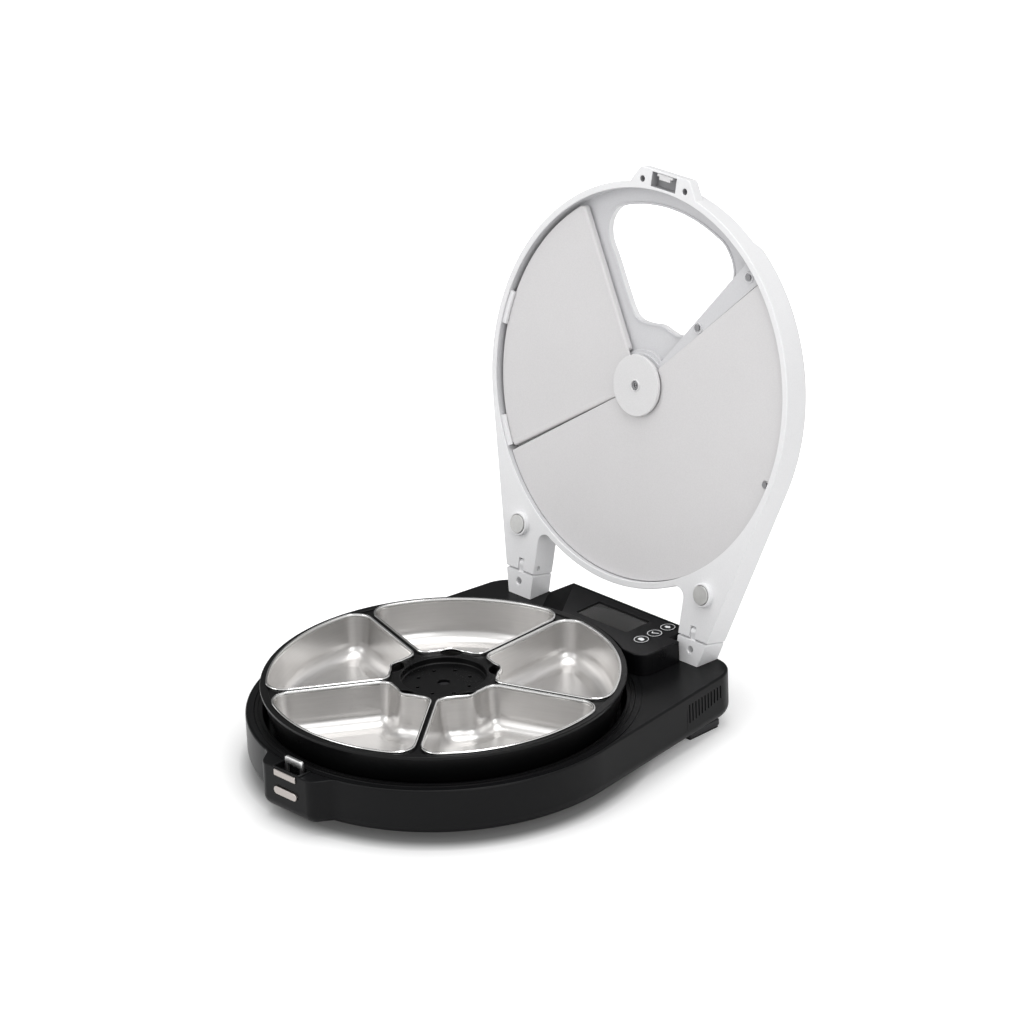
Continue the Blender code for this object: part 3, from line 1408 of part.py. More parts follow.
def make_lid_shell():
    """Outer shell of the lid with its legs, boss and window."""
    shell = prism("lid_shell", [lid_outline()], -LID_THICK, 0)
    half = LID_THICK / 2
    end = leg_end_s()
    bevel_group(shell, "back", lambda p: p.z < -half, LID_BACK_R, 3)
    bevel_group(shell, "leg_end", lambda p: p.z > -half and p.y < end + FIT, LEG_END_R, 4)
    slim = LID_THICK - LEG_THICK
    run = -LEG_SLIM_FROM - end
    wedge = box("leg_slim", (-LID_R, -LID_R, -LID_R), (LID_R, 0, 0))
    turn(wedge, Matrix.Rotation(math.atan2(slim, run), 4, "X").inverted())
    turn(wedge, Matrix.Translation((0, -LEG_SLIM_FROM, -LID_THICK)))
    cut(shell, wedge)
    boss = prism("lid_boss", [lid_boss_outline()], -LID_BOSS_THICK, 0)
    join(shell, boss)
    step = prism("front_step", [pie(STEP_IN_R, LID_R + LID_THICK, STEP_A0, STEP_A1)],
                 -LID_THICK - OVERRUN, -LID_THIN)
    cut(shell, step)
    recess = cylinder("recess", LID_CAVITY_R, -LID_DECK, OVERRUN, steps=ROUND_STEPS)
    cut(shell, recess)
    deep = prism("deep_recess", [pie(LID_FOAM_IN_R - FOAM_FIT, LID_CAVITY_R, THICK_A0 + WEB,
                                     THICK_A1 - WEB)],
                 LID_SKIN - LID_THICK, OVERRUN - LID_DECK)
    cut(shell, deep)
    pocket = cylinder("motor_pocket", LID_MOTOR_POCKET_R, LID_SKIN - LID_THICK,
                      OVERRUN - LID_DECK, steps=32)
    cut(shell, pocket)
    window = prism("window", [spin_points(window_outline(), WINDOW_MID)],
                   -LID_THICK - OVERRUN, OVERRUN - LID_DECK)
    cut(shell, window)
    add_lid_bosses(shell)
    cut_lid_holes(shell)
    return as_part(shell, "lid_shell", white_plastic())


def window_outline():
    """The feeding window about +X."""
    return sector_outline(WINDOW_IN_R, WINDOW_OUT_R, WINDOW_HALF, 0, WINDOW_IN_CORNER_R,
                          WINDOW_CORNER_R, 2 * CORNER_STEPS)


def side_screw_places():
    """The two screws of the side plate."""
    c = math.cos(SIDE_SCREW_A)
    s = math.sin(SIDE_SCREW_A)
    return [(r * c, r * s) for r in SIDE_SCREW_RS]


def add_lid_bosses(shell):
    """Magnet rings and the bosses under the panels."""
    for side in (-1, 1):
        ring = cylinder("magnet_ring", MAGNET_RING_R, -MAGNET_IN, MAGNET_RING_PROUD,
                        (side * MAGNET_X, MAGNET_S), 28)
        join(shell, ring)
    under = -PANEL_DEEP - PANEL_T - FIT
    join(shell, cylinder("panel_boss", PANEL_BOSS_R, -LID_THICK + LID_SKIN / 2, under, PANEL_SCREW))
    side_under = -PANEL_DEEP - SIDE_DROP - SIDE_T - FIT
    for spot in side_screw_places():
        join(shell, cylinder("side_boss", PANEL_BOSS_R, -LID_DECK - LID_SKIN / 2, side_under, spot))


def cut_lid_holes(shell):
    """Keeper recess, bores, magnet seats and hinge slots."""
    recess = box("keeper_recess", (-KEEP_HALF, KEEP_S0, -KEEP_DEEP),
                 (KEEP_HALF, KEEP_S1, OVERRUN))
    cut(shell, recess)
    panel_level = -PANEL_DEEP - PANEL_T
    bore_r = TINY_SCREW_R + PIN_FIT
    for spot in side_screw_places() + [PANEL_SCREW]:
        cut(shell, cylinder("tiny_bore", bore_r, panel_level - TINY_LONG, OVERRUN, spot, 12))
    for side in (-1, 1):
        seat = cylinder("magnet_seat", MAGNET_R + FIT, -MAGNET_IN, MAGNET_PROUD + OVERRUN,
                        (side * MAGNET_X, MAGNET_S), 28)
        hole = cylinder("boss_hole", LID_HOLE_R, -LID_HOLE_DEEP, OVERRUN,
                        (side * LID_HOLE_X, LID_HOLE_S))
        slot_half = LUG_HALF + LUG_SIDE_FIT
        middle = side * LUG_X
        reach = LUG_R + SLOT_AHEAD
        slot = box("hinge_slot",
                   (middle - slot_half, leg_end_s() - OVERRUN, -LID_RISE - LUG_R - SLOT_BEHIND),
                   (middle + slot_half, reach - LID_REACH, OVERRUN))
        bore = cylinder("pin_bore", PIN_R + PIN_FIT, -PIN_HALF - FIT, PIN_HALF + LUG_X)
        across = Matrix.Rotation(-side * math.pi / 2, 4, "Y")
        turn(bore, Matrix.Translation((middle, -LID_REACH, -LID_RISE)) @ across)
        for tool in (seat, hole, slot, bore):
            cut(shell, tool)


def make_panels():
    """Fixed panels under the lid."""
    edge = LID_CAVITY_R - PANEL_EDGE_FIT
    main = prism("main_panel", [pie(PANEL_IN_R, edge, PANEL_A0, PANEL_A1)],
                 -PANEL_DEEP - PANEL_T, -PANEL_DEEP)
    as_part(cut_screw_holes(main, [PANEL_SCREW]), "main_panel", grey_plastic())
    side_top = -PANEL_DEEP - SIDE_DROP
    plate = prism("side_plate", [pie(PANEL_IN_R, edge, PANEL_A1 + ANGLE_FIT, SIDE_A1)],
                  side_top - SIDE_T, side_top)
    as_part(cut_screw_holes(plate, side_screw_places()), "side_plate", grey_plastic())
    fixed = prism("shutter_deck", [pie(LID_FOAM_IN_R, edge, THICK_A0 + WEB + ANGLE_FIT,
                                       math.tau + PANEL_A0)],
                  -LID_DECK - SHUTTER_T, -LID_DECK)
    as_part(fixed, "shutter_deck", white_plastic())
    return [main, plate, fixed]


def cut_screw_holes(panel, spots):
    """Bores for small screws through a panel."""
    for spot in spots:
        cut(panel, cylinder("tiny_hole", TINY_SCREW_R + PIN_FIT, -LID_THICK, OVERRUN, spot, 12))
    return panel


def make_panel_screws():
    """Three small screws of the panels."""
    tops = [-PANEL_DEEP] + [-PANEL_DEEP - SIDE_DROP] * len(SIDE_SCREW_RS)
    spots = [PANEL_SCREW] + side_screw_places()
    made = []
    for i, (top, spot) in enumerate(zip(tops, spots)):
        head = cylinder("head", TINY_HEAD_R, top + FIT, top + FIT + TINY_HEAD_T, spot, 16)
        shank = cylinder("shank", TINY_SCREW_R, top - TINY_LONG, top + FIT + TINY_HEAD_T / 2, spot, 12)
        made.append(as_part(join(head, shank), f"panel_screw_{i + 1}", bright_metal()))
    return made


def make_lid_foam():
    """Insulation in the thick part of the lid."""
    outer = LID_CAVITY_R - FOAM_FIT
    low = LID_SKIN - LID_THICK + FIT
    start = THICK_A0 + WEB + ANGLE_FIT
    end = THICK_A1 - WEB - ANGLE_FIT
    shelf = -LID_DECK - SHUTTER_T - FIT
    slab = prism("lid_insulation", [pie(LID_FOAM_IN_R, outer, start, end)], low, shelf)
    raised = prism("foam_top", [pie(LID_FOAM_IN_R, outer, math.tau + PANEL_A0 + ANGLE_FIT, end)],
                   shelf - FIT, -PANEL_DEEP - PANEL_T - FIT)
    join(slab, raised)
    cut(slab, cylinder("boss_room", PANEL_BOSS_R + FIT, -LID_THICK, 0, PANEL_SCREW))
    return as_part(slab, "lid_insulation", foam())


def make_shutter():
    """Sector shutter with its rounded side flanges and middle ring."""
    top = -PANEL_DEEP
    inner = (STEM_R + SHUTTER_RING_R) / 2
    plate = prism("shutter", [pie(inner, SHUTTER_R, SHUTTER_A0, SHUTTER_A1)],
                  top - SHUTTER_T, top)
    ring_top = -DISC_DEEP - DISC_T - FIT
    ring = prism("shutter_ring", [circle(SHUTTER_RING_R, 36), circle(STEM_R + FIT, 24)],
                 top - SHUTTER_T, ring_top)
    join(plate, ring)
    foot = -LID_DECK + SHUTTER_RUN
    for angle, side in ((SHUTTER_A0, 1), (SHUTTER_A1, -1)):
        wall = box("shutter_wall", (SHUTTER_FLANGE_R0, 0, foot),
                   (SHUTTER_R - SHUTTER_FLANGE_IN, side * SHUTTER_T, top - SHUTTER_T / 2))
        if side < 0:
            wall.data.flip_normals()
            fix_normals(wall)
        turn(wall, Matrix.Rotation(angle, 4, "Z"))
        join(plate, wall)
    return as_part(plate, "shutter", grey_plastic())


def fix_normals(item):
    """Points every face outwards."""
    bm = bmesh.new()
    bm.from_mesh(item.data)
    bmesh.ops.recalc_face_normals(bm, faces=bm.faces)
    bm.to_mesh(item.data)
    bm.free()


def make_hub_disc():
    """Round disc that holds the shutter, its stem and its screw."""
    top = -DISC_DEEP
    disc = cylinder("hub_disc", DISC_R, top - DISC_T, top, steps=48)
    stem = cylinder("stem", STEM_R, top - DISC_T - STEM_LONG, top - DISC_T / 2)
    join(disc, stem)
    cut(disc, cylinder("head_seat", DISC_SCREW_R + FIT, top - DISC_SCREW_T - FIT, top + OVERRUN))
    cut(disc, cylinder("shaft_bore", LID_SHAFT_R + PIN_FIT, -LID_THICK, top - DISC_T))
    cut(disc, cylinder("screw_bore", TINY_SCREW_R + PIN_FIT, -LID_THICK, OVERRUN, steps=12))
    as_part(disc, "hub_disc", grey_plastic())
    head = cylinder("hub_screw", DISC_SCREW_R, top - DISC_SCREW_T, top)
    shank = cylinder("hub_shank", TINY_SCREW_R, top - DISC_T + FIT, top - DISC_SCREW_T / 2, steps=12)
    join(head, shank)
    return [disc, as_part(head, "hub_screw", bright_metal())]


def make_lid_motor():
    """Flat gear motor that turns the shutter."""
    low = LID_SKIN - LID_THICK + FIT
    stem_end = -DISC_DEEP - DISC_T - STEM_LONG
    motor = cylinder("shutter_motor", LID_MOTOR_R, low, stem_end - FIT, steps=32)
    shaft = cylinder("lid_shaft", LID_SHAFT_R, stem_end - STEM_LONG / 2, -DISC_DEEP - DISC_T - FIT)
    join(motor, shaft)
    return as_part(motor, "shutter_motor", aluminium())


def make_keeper():
    """Keeper tab in the recess of the lid's boss."""
    back = KEEP_S1 - FIT
    tab = box("lid_keeper", (-KEEPER_HALF, back - KEEPER_THICK, FIT - KEEP_DEEP),
              (KEEPER_HALF, back, -KEEPER_IN))
    lip = box("keeper_lip", (-KEEPER_LIP_HALF, KEEPER_LIP_S, -KEEPER_IN - KEEPER_LIP_T),
              (KEEPER_LIP_HALF, back - KEEPER_THICK / 2, -KEEPER_IN))
    join(tab, lip)
    return as_part(tab, "lid_keeper", white_plastic())


def make_magnets():
    """Two round magnets on the legs."""
    discs = []
    for side, word in ((1, "right"), (-1, "left")):
        disc = cylinder("magnet", MAGNET_R, FIT - MAGNET_IN, MAGNET_PROUD,
                        (side * MAGNET_X, MAGNET_S), 28)
        discs.append(as_part(disc, "magnet_" + word, stainless()))
    return discs


def hang_on_pivot(pivot, items):
    """Places lid pieces, with their cutters, under the hinge's empty."""
    offset = Matrix.Translation((0, LID_REACH, LID_RISE))
    seen = set()
    for item in items:
        stack = [item]
        while stack:
            each = stack.pop()
            if each.name in seen:
                continue
            seen.add(each.name)
            each.parent = pivot
            each.matrix_parent_inverse = Matrix.Identity(4)
            each.matrix_basis = offset
            stack += [m.object for m in each.modifiers if m.type == "BOOLEAN"]


# Hinge posts and pins
def make_post(side, name):
    """Fixed foot of a leg with the hinge lug."""
    top = leg_end_s() - POST_STOP
    outer_top = leg_outer_x(top)
    outer_low = leg_outer_x(POST_LONG_S)
    outline = [(LEG_INNER_X, top), (LEG_INNER_X, POST_LONG_S), (outer_low, POST_LONG_S),
               (outer_top, top)]
    if side < 0:
        outline = mirrored(outline)
    post = prism(name, [outline], -LEG_THICK, 0)
    hole = cylinder("post_hole", POST_HOLE_R, -POST_HOLE_DEEP, OVERRUN,
                    (side * LUG_X, POST_HOLE_S))
    frame = lid_matrix()
    for each in (post, hole):
        turn(each, frame)
    cut(post, hole)
    reach = LID_R
    deck = box("deck_cut", (-reach, HINGE_Y - reach, -reach), (reach, HINGE_Y + reach, DECK_Z + FIT))
    cut(post, deck)
    stop_z = HINGE_Z - LEG_END_R - POST_STOP
    closed_stop = box("closed_stop", (-reach, HINGE_Y - reach, stop_z),
                      (reach, HINGE_Y, HINGE_Z + LEG_END_R))
    cut(post, closed_stop)
    middle = side * LUG_X
    neck = box("neck", (middle - LUG_HALF, HINGE_Y - LUG_R, stop_z - LUG_R),
               (middle + LUG_HALF, HINGE_Y + LUG_R, HINGE_Z))
    across = Matrix.Translation((middle, HINGE_Y, HINGE_Z)) @ Matrix.Rotation(math.pi / 2, 4, "Y")
    lug = turn(cylinder("lug", LUG_R, -LUG_HALF, LUG_HALF, steps=24), across)
    bore = turn(cylinder("lug_bore", PIN_R + PIN_FIT, -LUG_X, LUG_X / 2), across)
    join(post, neck, lug)
    cut(post, bore)
    return as_part(post, name, white_plastic())


def make_pins():
    """Two steel hinge pins."""
    for side, word in ((1, "right"), (-1, "left")):
        pin = cylinder("pin", PIN_R, -PIN_HALF, PIN_HALF)
        place = Matrix.Translation((side * LUG_X, HINGE_Y, HINGE_Z))
        turn(pin, place @ Matrix.Rotation(math.pi / 2, 4, "Y"))
        as_part(pin, "hinge_pin_" + word, bright_metal())


def centre_on_ground():
    """Puts the origin under the middle of the whole part's bounding box."""
    bpy.context.view_layer.update()
    graph = bpy.context.evaluated_depsgraph_get()
    low = Vector((math.inf,) * 3)
    high = Vector((-math.inf,) * 3)
    for item in SHOP.parts.objects:
        if item.type != "MESH":
            continue
        mesh = item.evaluated_get(graph).to_mesh()
        for vertex in mesh.vertices:
            place = item.matrix_world @ vertex.co
            low = Vector(map(min, low, place))
            high = Vector(map(max, high, place))
    shift = Vector((-(low.x + high.x) / 2, -(low.y + high.y) / 2, -low.z))
    for item in list(SHOP.parts.objects) + list(SHOP.cutters.objects):
        if item.parent is None:
            item.matrix_basis = Matrix.Translation(shift) @ item.matrix_basis
    bpy.context.view_layer.update()
    return shift


def build():
    """Builds every piece of the feeder."""
    make_base_shell()
    make_base_bottom()
    make_foot_pads()
    make_well_liner()
    make_ring_foam()
    make_floor_foam()
    make_cooling_stack()
    make_fan()
    make_drive()
    make_tray()
    make_bowls()
    make_latch()
    make_console()
    make_control_board()
    make_power_inlet()
    make_base_screws()
    for side, word in ((1, "right"), (-1, "left")):
        make_post(side, "hinge_post_" + word)
    make_pins()
    pivot = make_lid_pivot()
    lid = [make_lid_shell(), make_lid_foam(), make_shutter(), make_lid_motor(), make_keeper()]
    lid += make_panels() + make_panel_screws() + make_hub_disc() + make_magnets()
    hang_on_pivot(pivot, lid)
    shift = centre_on_ground()
    print("turntable axis at", [round(v, 6) for v in shift])
    print("lid frame", [[round(v, 6) for v in row] for row in Matrix.Translation(shift) @ lid_matrix()])


if __name__ == "__main__":
    build()
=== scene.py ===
import logging
import math
from collections.abc import Iterable, Sequence
from dataclasses import dataclass
from enum import Enum

import bmesh
import bpy
from mathutils import Matrix, Vector


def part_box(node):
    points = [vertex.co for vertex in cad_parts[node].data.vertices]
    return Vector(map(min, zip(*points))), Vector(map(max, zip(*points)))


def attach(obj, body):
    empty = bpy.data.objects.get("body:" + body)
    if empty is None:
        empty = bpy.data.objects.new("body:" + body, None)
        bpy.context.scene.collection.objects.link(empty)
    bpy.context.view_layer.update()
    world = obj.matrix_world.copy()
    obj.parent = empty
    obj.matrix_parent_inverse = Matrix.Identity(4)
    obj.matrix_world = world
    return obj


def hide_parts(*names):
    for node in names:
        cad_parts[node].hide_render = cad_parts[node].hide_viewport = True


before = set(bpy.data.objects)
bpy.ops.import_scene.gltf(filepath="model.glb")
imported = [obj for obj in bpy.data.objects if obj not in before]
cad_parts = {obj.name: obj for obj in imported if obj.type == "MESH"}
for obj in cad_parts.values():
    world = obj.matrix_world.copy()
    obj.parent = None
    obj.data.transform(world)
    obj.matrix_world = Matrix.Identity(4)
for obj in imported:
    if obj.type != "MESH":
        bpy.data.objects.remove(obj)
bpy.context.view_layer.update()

LOG = logging.getLogger("cat_feeder")
Point = tuple[float, float]
Colour = tuple[float, float, float]

# Chords of a large circle, of a small one and of a rounded corner
ROUND = 192
MINOR = 48
CORNER = 8

# Gap between pieces, distance at which points merge, and how far a cutter runs past a surface, in metres
HAIR = 0.0003
MERGE = 0.000002
OVERRUN = 0.002

# Height of the base's deck
DECK_Z = 0.0474


class Side(Enum):
    """Which side of the feeder a piece stands on, seen from its front."""

    RIGHT = 1
    LEFT = -1


class Brush(Enum):
    """Direction of the brushed lines on a metal."""

    ACROSS = (9.0, 340.0, 340.0)
    DEEP = (340.0, 9.0, 340.0)
    UPRIGHT = (14.0, 14.0, 240.0)
    NONE = (60.0, 60.0, 60.0)


# Shader nodes
class Wiring:
    """Short ways to add and join nodes in one tree."""

    def __init__(self, tree: bpy.types.NodeTree) -> None:
        """Keeps the tree."""
        self.tree = tree

    def add(self, kind: str, **values: object) -> bpy.types.Node:
        """Adds a node.

        Args:
            kind: The node's class name.
            values: Properties of the node to set.

        Returns:
            The new node.
        """
        node = self.tree.nodes.new(kind)
        for key, value in values.items():
            setattr(node, key, value)
        return node

    def feed(self, target: bpy.types.NodeSocket, source: object) -> None:
        """Links a socket to its source, or sets a plain value.

        Args:
            target: The input socket.
            source: An output socket, or a value.
        """
        if isinstance(source, bpy.types.NodeSocket):
            self.tree.links.new(source, target)
        else:
            target.default_value = source

    def noise(self, place: object, scale: object, detail: float = 3,
              rough: float = 0.5) -> bpy.types.NodeSocket:
        """A noise value over the surface.

        Args:
            place: Socket with the coordinates.
            scale: Noise scale per metre, or its socket.
            detail: Octaves.
            rough: Roughness of the octaves.

        Returns:
            The noise factor's socket.
        """
        node = self.add("ShaderNodeTexNoise")
        self.feed(node.inputs["Vector"], place)
        self.feed(node.inputs["Scale"], scale)
        node.inputs["Detail"].default_value = detail
        node.inputs["Roughness"].default_value = rough
        return node.outputs["Fac"]

    def maths(self, operation: str, first: object, second: object = 0.0,
              third: object = 0.0) -> bpy.types.NodeSocket:
        """A Math node on two or three values.

        Args:
            operation: The operation's name.
            first: First value or socket.
            second: Second value or socket.
            third: Third value or socket.

        Returns:
            The result's socket.
        """
        node = self.add("ShaderNodeMath", operation=operation)
        for target, source in zip(node.inputs, (first, second, third)):
            self.feed(target, source)
        return node.outputs[0]

    def spread(self, value: object, low: float, high: float, to_low: object,
               to_high: object) -> bpy.types.NodeSocket:
        """Maps a value from one range to another.

        Args:
            value: The value's socket.
            low: Start of its range.
            high: End of its range.
            to_low: What the start becomes.
            to_high: What the end becomes.

        Returns:
            The mapped value's socket.
        """
        node = self.add("ShaderNodeMapRange")
        for name, source in (("Value", value), ("From Min", low), ("From Max", high),
                             ("To Min", to_low), ("To Max", to_high)):
            self.feed(node.inputs[name], source)
        return node.outputs["Result"]

    def blend(self, share: object, first: object, second: object) -> bpy.types.NodeSocket:
        """Mixes two colours.

        Args:
            share: Share of the second colour.
            first: First colour or socket.
            second: Second colour or socket.

        Returns:
            The mixed colour's socket.
        """
        node = self.add("ShaderNodeMix", data_type="RGBA")
        self.feed(node.inputs[0], share)
        self.feed(node.inputs[6], first)
        self.feed(node.inputs[7], second)
        return node.outputs[2]


class Effects:
    """Shader groups that several finishes share, each built once."""

    def __init__(self) -> None:
        """Builds the three groups."""
        self.grain = self._grain()
        self.dust = self._dust()
        self.brushing = self._brushing()

    def _open(self, name: str, inputs: Sequence[tuple[str, str, object]],
              outputs: Sequence[tuple[str, str]]) -> tuple[Wiring, bpy.types.Node, bpy.types.Node]:
        """Starts a group with its sockets.

        Args:
            name: Group name.
            inputs: Name, socket type and default of each input.
            outputs: Name and socket type of each output.

        Returns:
            The wiring, the input node and the output node.
        """
        tree = bpy.data.node_groups.new(name, "ShaderNodeTree")
        for label, kind, value in inputs:
            socket = tree.interface.new_socket(label, in_out="INPUT", socket_type=kind)
            socket.default_value = value
        for label, kind in outputs:
            tree.interface.new_socket(label, in_out="OUTPUT", socket_type=kind)
        wiring = Wiring(tree)
        return wiring, wiring.add("NodeGroupInput"), wiring.add("NodeGroupOutput")

    def _grain(self) -> bpy.types.NodeTree:
        """Spark-eroded grain of moulded plastic, with a slow mottle.

        Returns:
            The group.
        """
        wiring, given, out = self._open(
            "moulded_grain",
            [("Scale", "NodeSocketFloat", 900.0), ("Mottle Scale", "NodeSocketFloat", 14.0)],
            [("Height", "NodeSocketFloat"), ("Mottle", "NodeSocketFloat"), ("Fleck", "NodeSocketFloat")])
        place = wiring.add("ShaderNodeTexCoord").outputs["Object"]
        fine = wiring.noise(place, given.outputs["Scale"], 2, 0.6)
        coarse = wiring.noise(place, wiring.maths("MULTIPLY", given.outputs["Scale"], 0.31), 2, 0.5)
        height = wiring.maths("MULTIPLY_ADD", coarse, 0.6, wiring.maths("MULTIPLY", fine, 0.4))
        slow = wiring.noise(place, given.outputs["Mottle Scale"], 4, 0.55)
        wiring.feed(out.inputs["Height"], height)
        wiring.feed(out.inputs["Mottle"], wiring.spread(slow, 0.32, 0.68, 0.0, 1.0))
        wiring.feed(out.inputs["Fleck"], wiring.spread(fine, 0.38, 0.62, 0.0, 1.0))
        return wiring.tree

    def _dust(self) -> bpy.types.NodeTree:
        """Fine dust that settles on what faces up.

        Returns:
            The group.
        """
        wiring, given, out = self._open(
            "settled_dust", [("Amount", "NodeSocketFloat", 0.1)], [("Mask", "NodeSocketFloat")])
        normal = wiring.add("ShaderNodeNewGeometry").outputs["Normal"]
        apart = wiring.add("ShaderNodeSeparateXYZ")
        wiring.feed(apart.inputs[0], normal)
        upward = wiring.spread(apart.outputs["Z"], 0.35, 1.0, 0.0, 1.0)
        place = wiring.add("ShaderNodeTexCoord").outputs["Object"]
        cloud = wiring.spread(wiring.noise(place, 55.0, 6, 0.65), 0.35, 0.75, 0.15, 1.0)
        mask = wiring.maths("MULTIPLY", wiring.maths("MULTIPLY", upward, cloud), given.outputs["Amount"])
        wiring.feed(out.inputs["Mask"], mask)
        return wiring.tree

    def _brushing(self) -> bpy.types.NodeTree:
        """Long fine lines of a brushed sheet.

        Returns:
            The group.
        """
        wiring, given, out = self._open(
            "brushed_lines", [("Stretch", "NodeSocketVector", (9.0, 340.0, 340.0))],
            [("Height", "NodeSocketFloat"), ("Streak", "NodeSocketFloat"), ("Cloud", "NodeSocketFloat")])
        place = wiring.add("ShaderNodeTexCoord").outputs["Object"]
        scaled = wiring.add("ShaderNodeVectorMath", operation="MULTIPLY")
        wiring.feed(scaled.inputs[0], place)
        wiring.feed(scaled.inputs[1], given.outputs["Stretch"])
        lines = wiring.noise(scaled.outputs[0], 2.2, 4, 0.6)
        broad = wiring.noise(place, 22.0, 3, 0.5)
        wiring.feed(out.inputs["Height"], lines)
        wiring.feed(out.inputs["Streak"], wiring.spread(lines, 0.35, 0.65, 0.0, 1.0))
        wiring.feed(out.inputs["Cloud"], wiring.spread(broad, 0.35, 0.65, 0.0, 1.0))
        return wiring.tree


EFFECTS = Effects()


def shaded(colour: Colour, factor: float) -> tuple[float, float, float, float]:
    """The colour made lighter or darker, with alpha."""
    return (min(1, colour[0] * factor), min(1, colour[1] * factor), min(1, colour[2] * factor), 1)


@dataclass(frozen=True)
class PlasticFinish:
    """A moulded plastic, foam, rubber or ceramic surface."""

    name: str
    slot: str
    colour: Colour
    roughness: float
    grain_scale: float = 900
    grain_depth: float = 0.00004
    mottle: float = 0.06
    dust: float = 0.05
    dust_colour: Colour = (0.42, 0.42, 0.41)
    spread: float = 0.05
    coat: float = 0
    specular: float = 0.5

    def material(self) -> bpy.types.Material:
        """Builds the material.

        Returns:
            The material with grain, mottle and dust.
        """
        made = bpy.data.materials.new(self.name)
        made.use_nodes = True
        wiring = Wiring(made.node_tree)
        shader = made.node_tree.nodes["Principled BSDF"]
        grain = wiring.add("ShaderNodeGroup", node_tree=EFFECTS.grain)
        grain.inputs["Scale"].default_value = self.grain_scale
        dust = wiring.add("ShaderNodeGroup", node_tree=EFFECTS.dust)
        dust.inputs["Amount"].default_value = self.dust
        body = wiring.blend(grain.outputs["Mottle"], shaded(self.colour, 1 - self.mottle),
                            shaded(self.colour, 1 + self.mottle))
        flecked = wiring.blend(wiring.maths("MULTIPLY", grain.outputs["Fleck"], 0.12), body,
                               shaded(self.colour, 1.35))
        dusty = wiring.blend(dust.outputs["Mask"], flecked, (*self.dust_colour, 1))
        wiring.feed(shader.inputs["Base Color"], dusty)
        rough = wiring.spread(grain.outputs["Mottle"], 0, 1, self.roughness - self.spread,
                              self.roughness + self.spread)
        wiring.feed(shader.inputs["Roughness"], wiring.maths("ADD", rough, dust.outputs["Mask"]))
        bump = wiring.add("ShaderNodeBump")
        bump.inputs["Strength"].default_value = 1
        bump.inputs["Distance"].default_value = self.grain_depth
        wiring.feed(bump.inputs["Height"], grain.outputs["Height"])
        wiring.feed(shader.inputs["Normal"], bump.outputs["Normal"])
        shader.inputs["Coat Weight"].default_value = self.coat
        shader.inputs["Coat Roughness"].default_value = 0.12
        shader.inputs["Specular IOR Level"].default_value = self.specular
        return made


@dataclass(frozen=True)
class MetalFinish:
    """A brushed or polished metal surface."""

    name: str
    slot: str
    colour: Colour
    roughness: float
    brush: Brush = Brush.ACROSS
    line_depth: float = 0.00001
    contrast: float = 0.07
    spread: float = 0.05

    def material(self) -> bpy.types.Material:
        """Builds the material.

        Returns:
            The metal with its lines and soft clouds.
        """
        made = bpy.data.materials.new(self.name)
        made.use_nodes = True
        wiring = Wiring(made.node_tree)
        shader = made.node_tree.nodes["Principled BSDF"]
        lines = wiring.add("ShaderNodeGroup", node_tree=EFFECTS.brushing)
        lines.inputs["Stretch"].default_value = self.brush.value
        tone = wiring.blend(lines.outputs["Streak"], shaded(self.colour, 1 - self.contrast),
                            shaded(self.colour, 1 + self.contrast / 2))
        clouded = wiring.blend(wiring.maths("MULTIPLY", lines.outputs["Cloud"], 0.25), tone,
                               shaded(self.colour, 0.9))
        wiring.feed(shader.inputs["Base Color"], clouded)
        shader.inputs["Metallic"].default_value = 1
        both = wiring.maths("MULTIPLY_ADD", lines.outputs["Streak"], 0.6,
                            wiring.maths("MULTIPLY", lines.outputs["Cloud"], 0.4))
        wiring.feed(shader.inputs["Roughness"],
                    wiring.spread(both, 0, 1, self.roughness - self.spread, self.roughness + self.spread))
        bump = wiring.add("ShaderNodeBump")
        bump.inputs["Strength"].default_value = 1
        bump.inputs["Distance"].default_value = self.line_depth
        wiring.feed(bump.inputs["Height"], lines.outputs["Height"])
        wiring.feed(shader.inputs["Normal"], bump.outputs["Normal"])
        return made


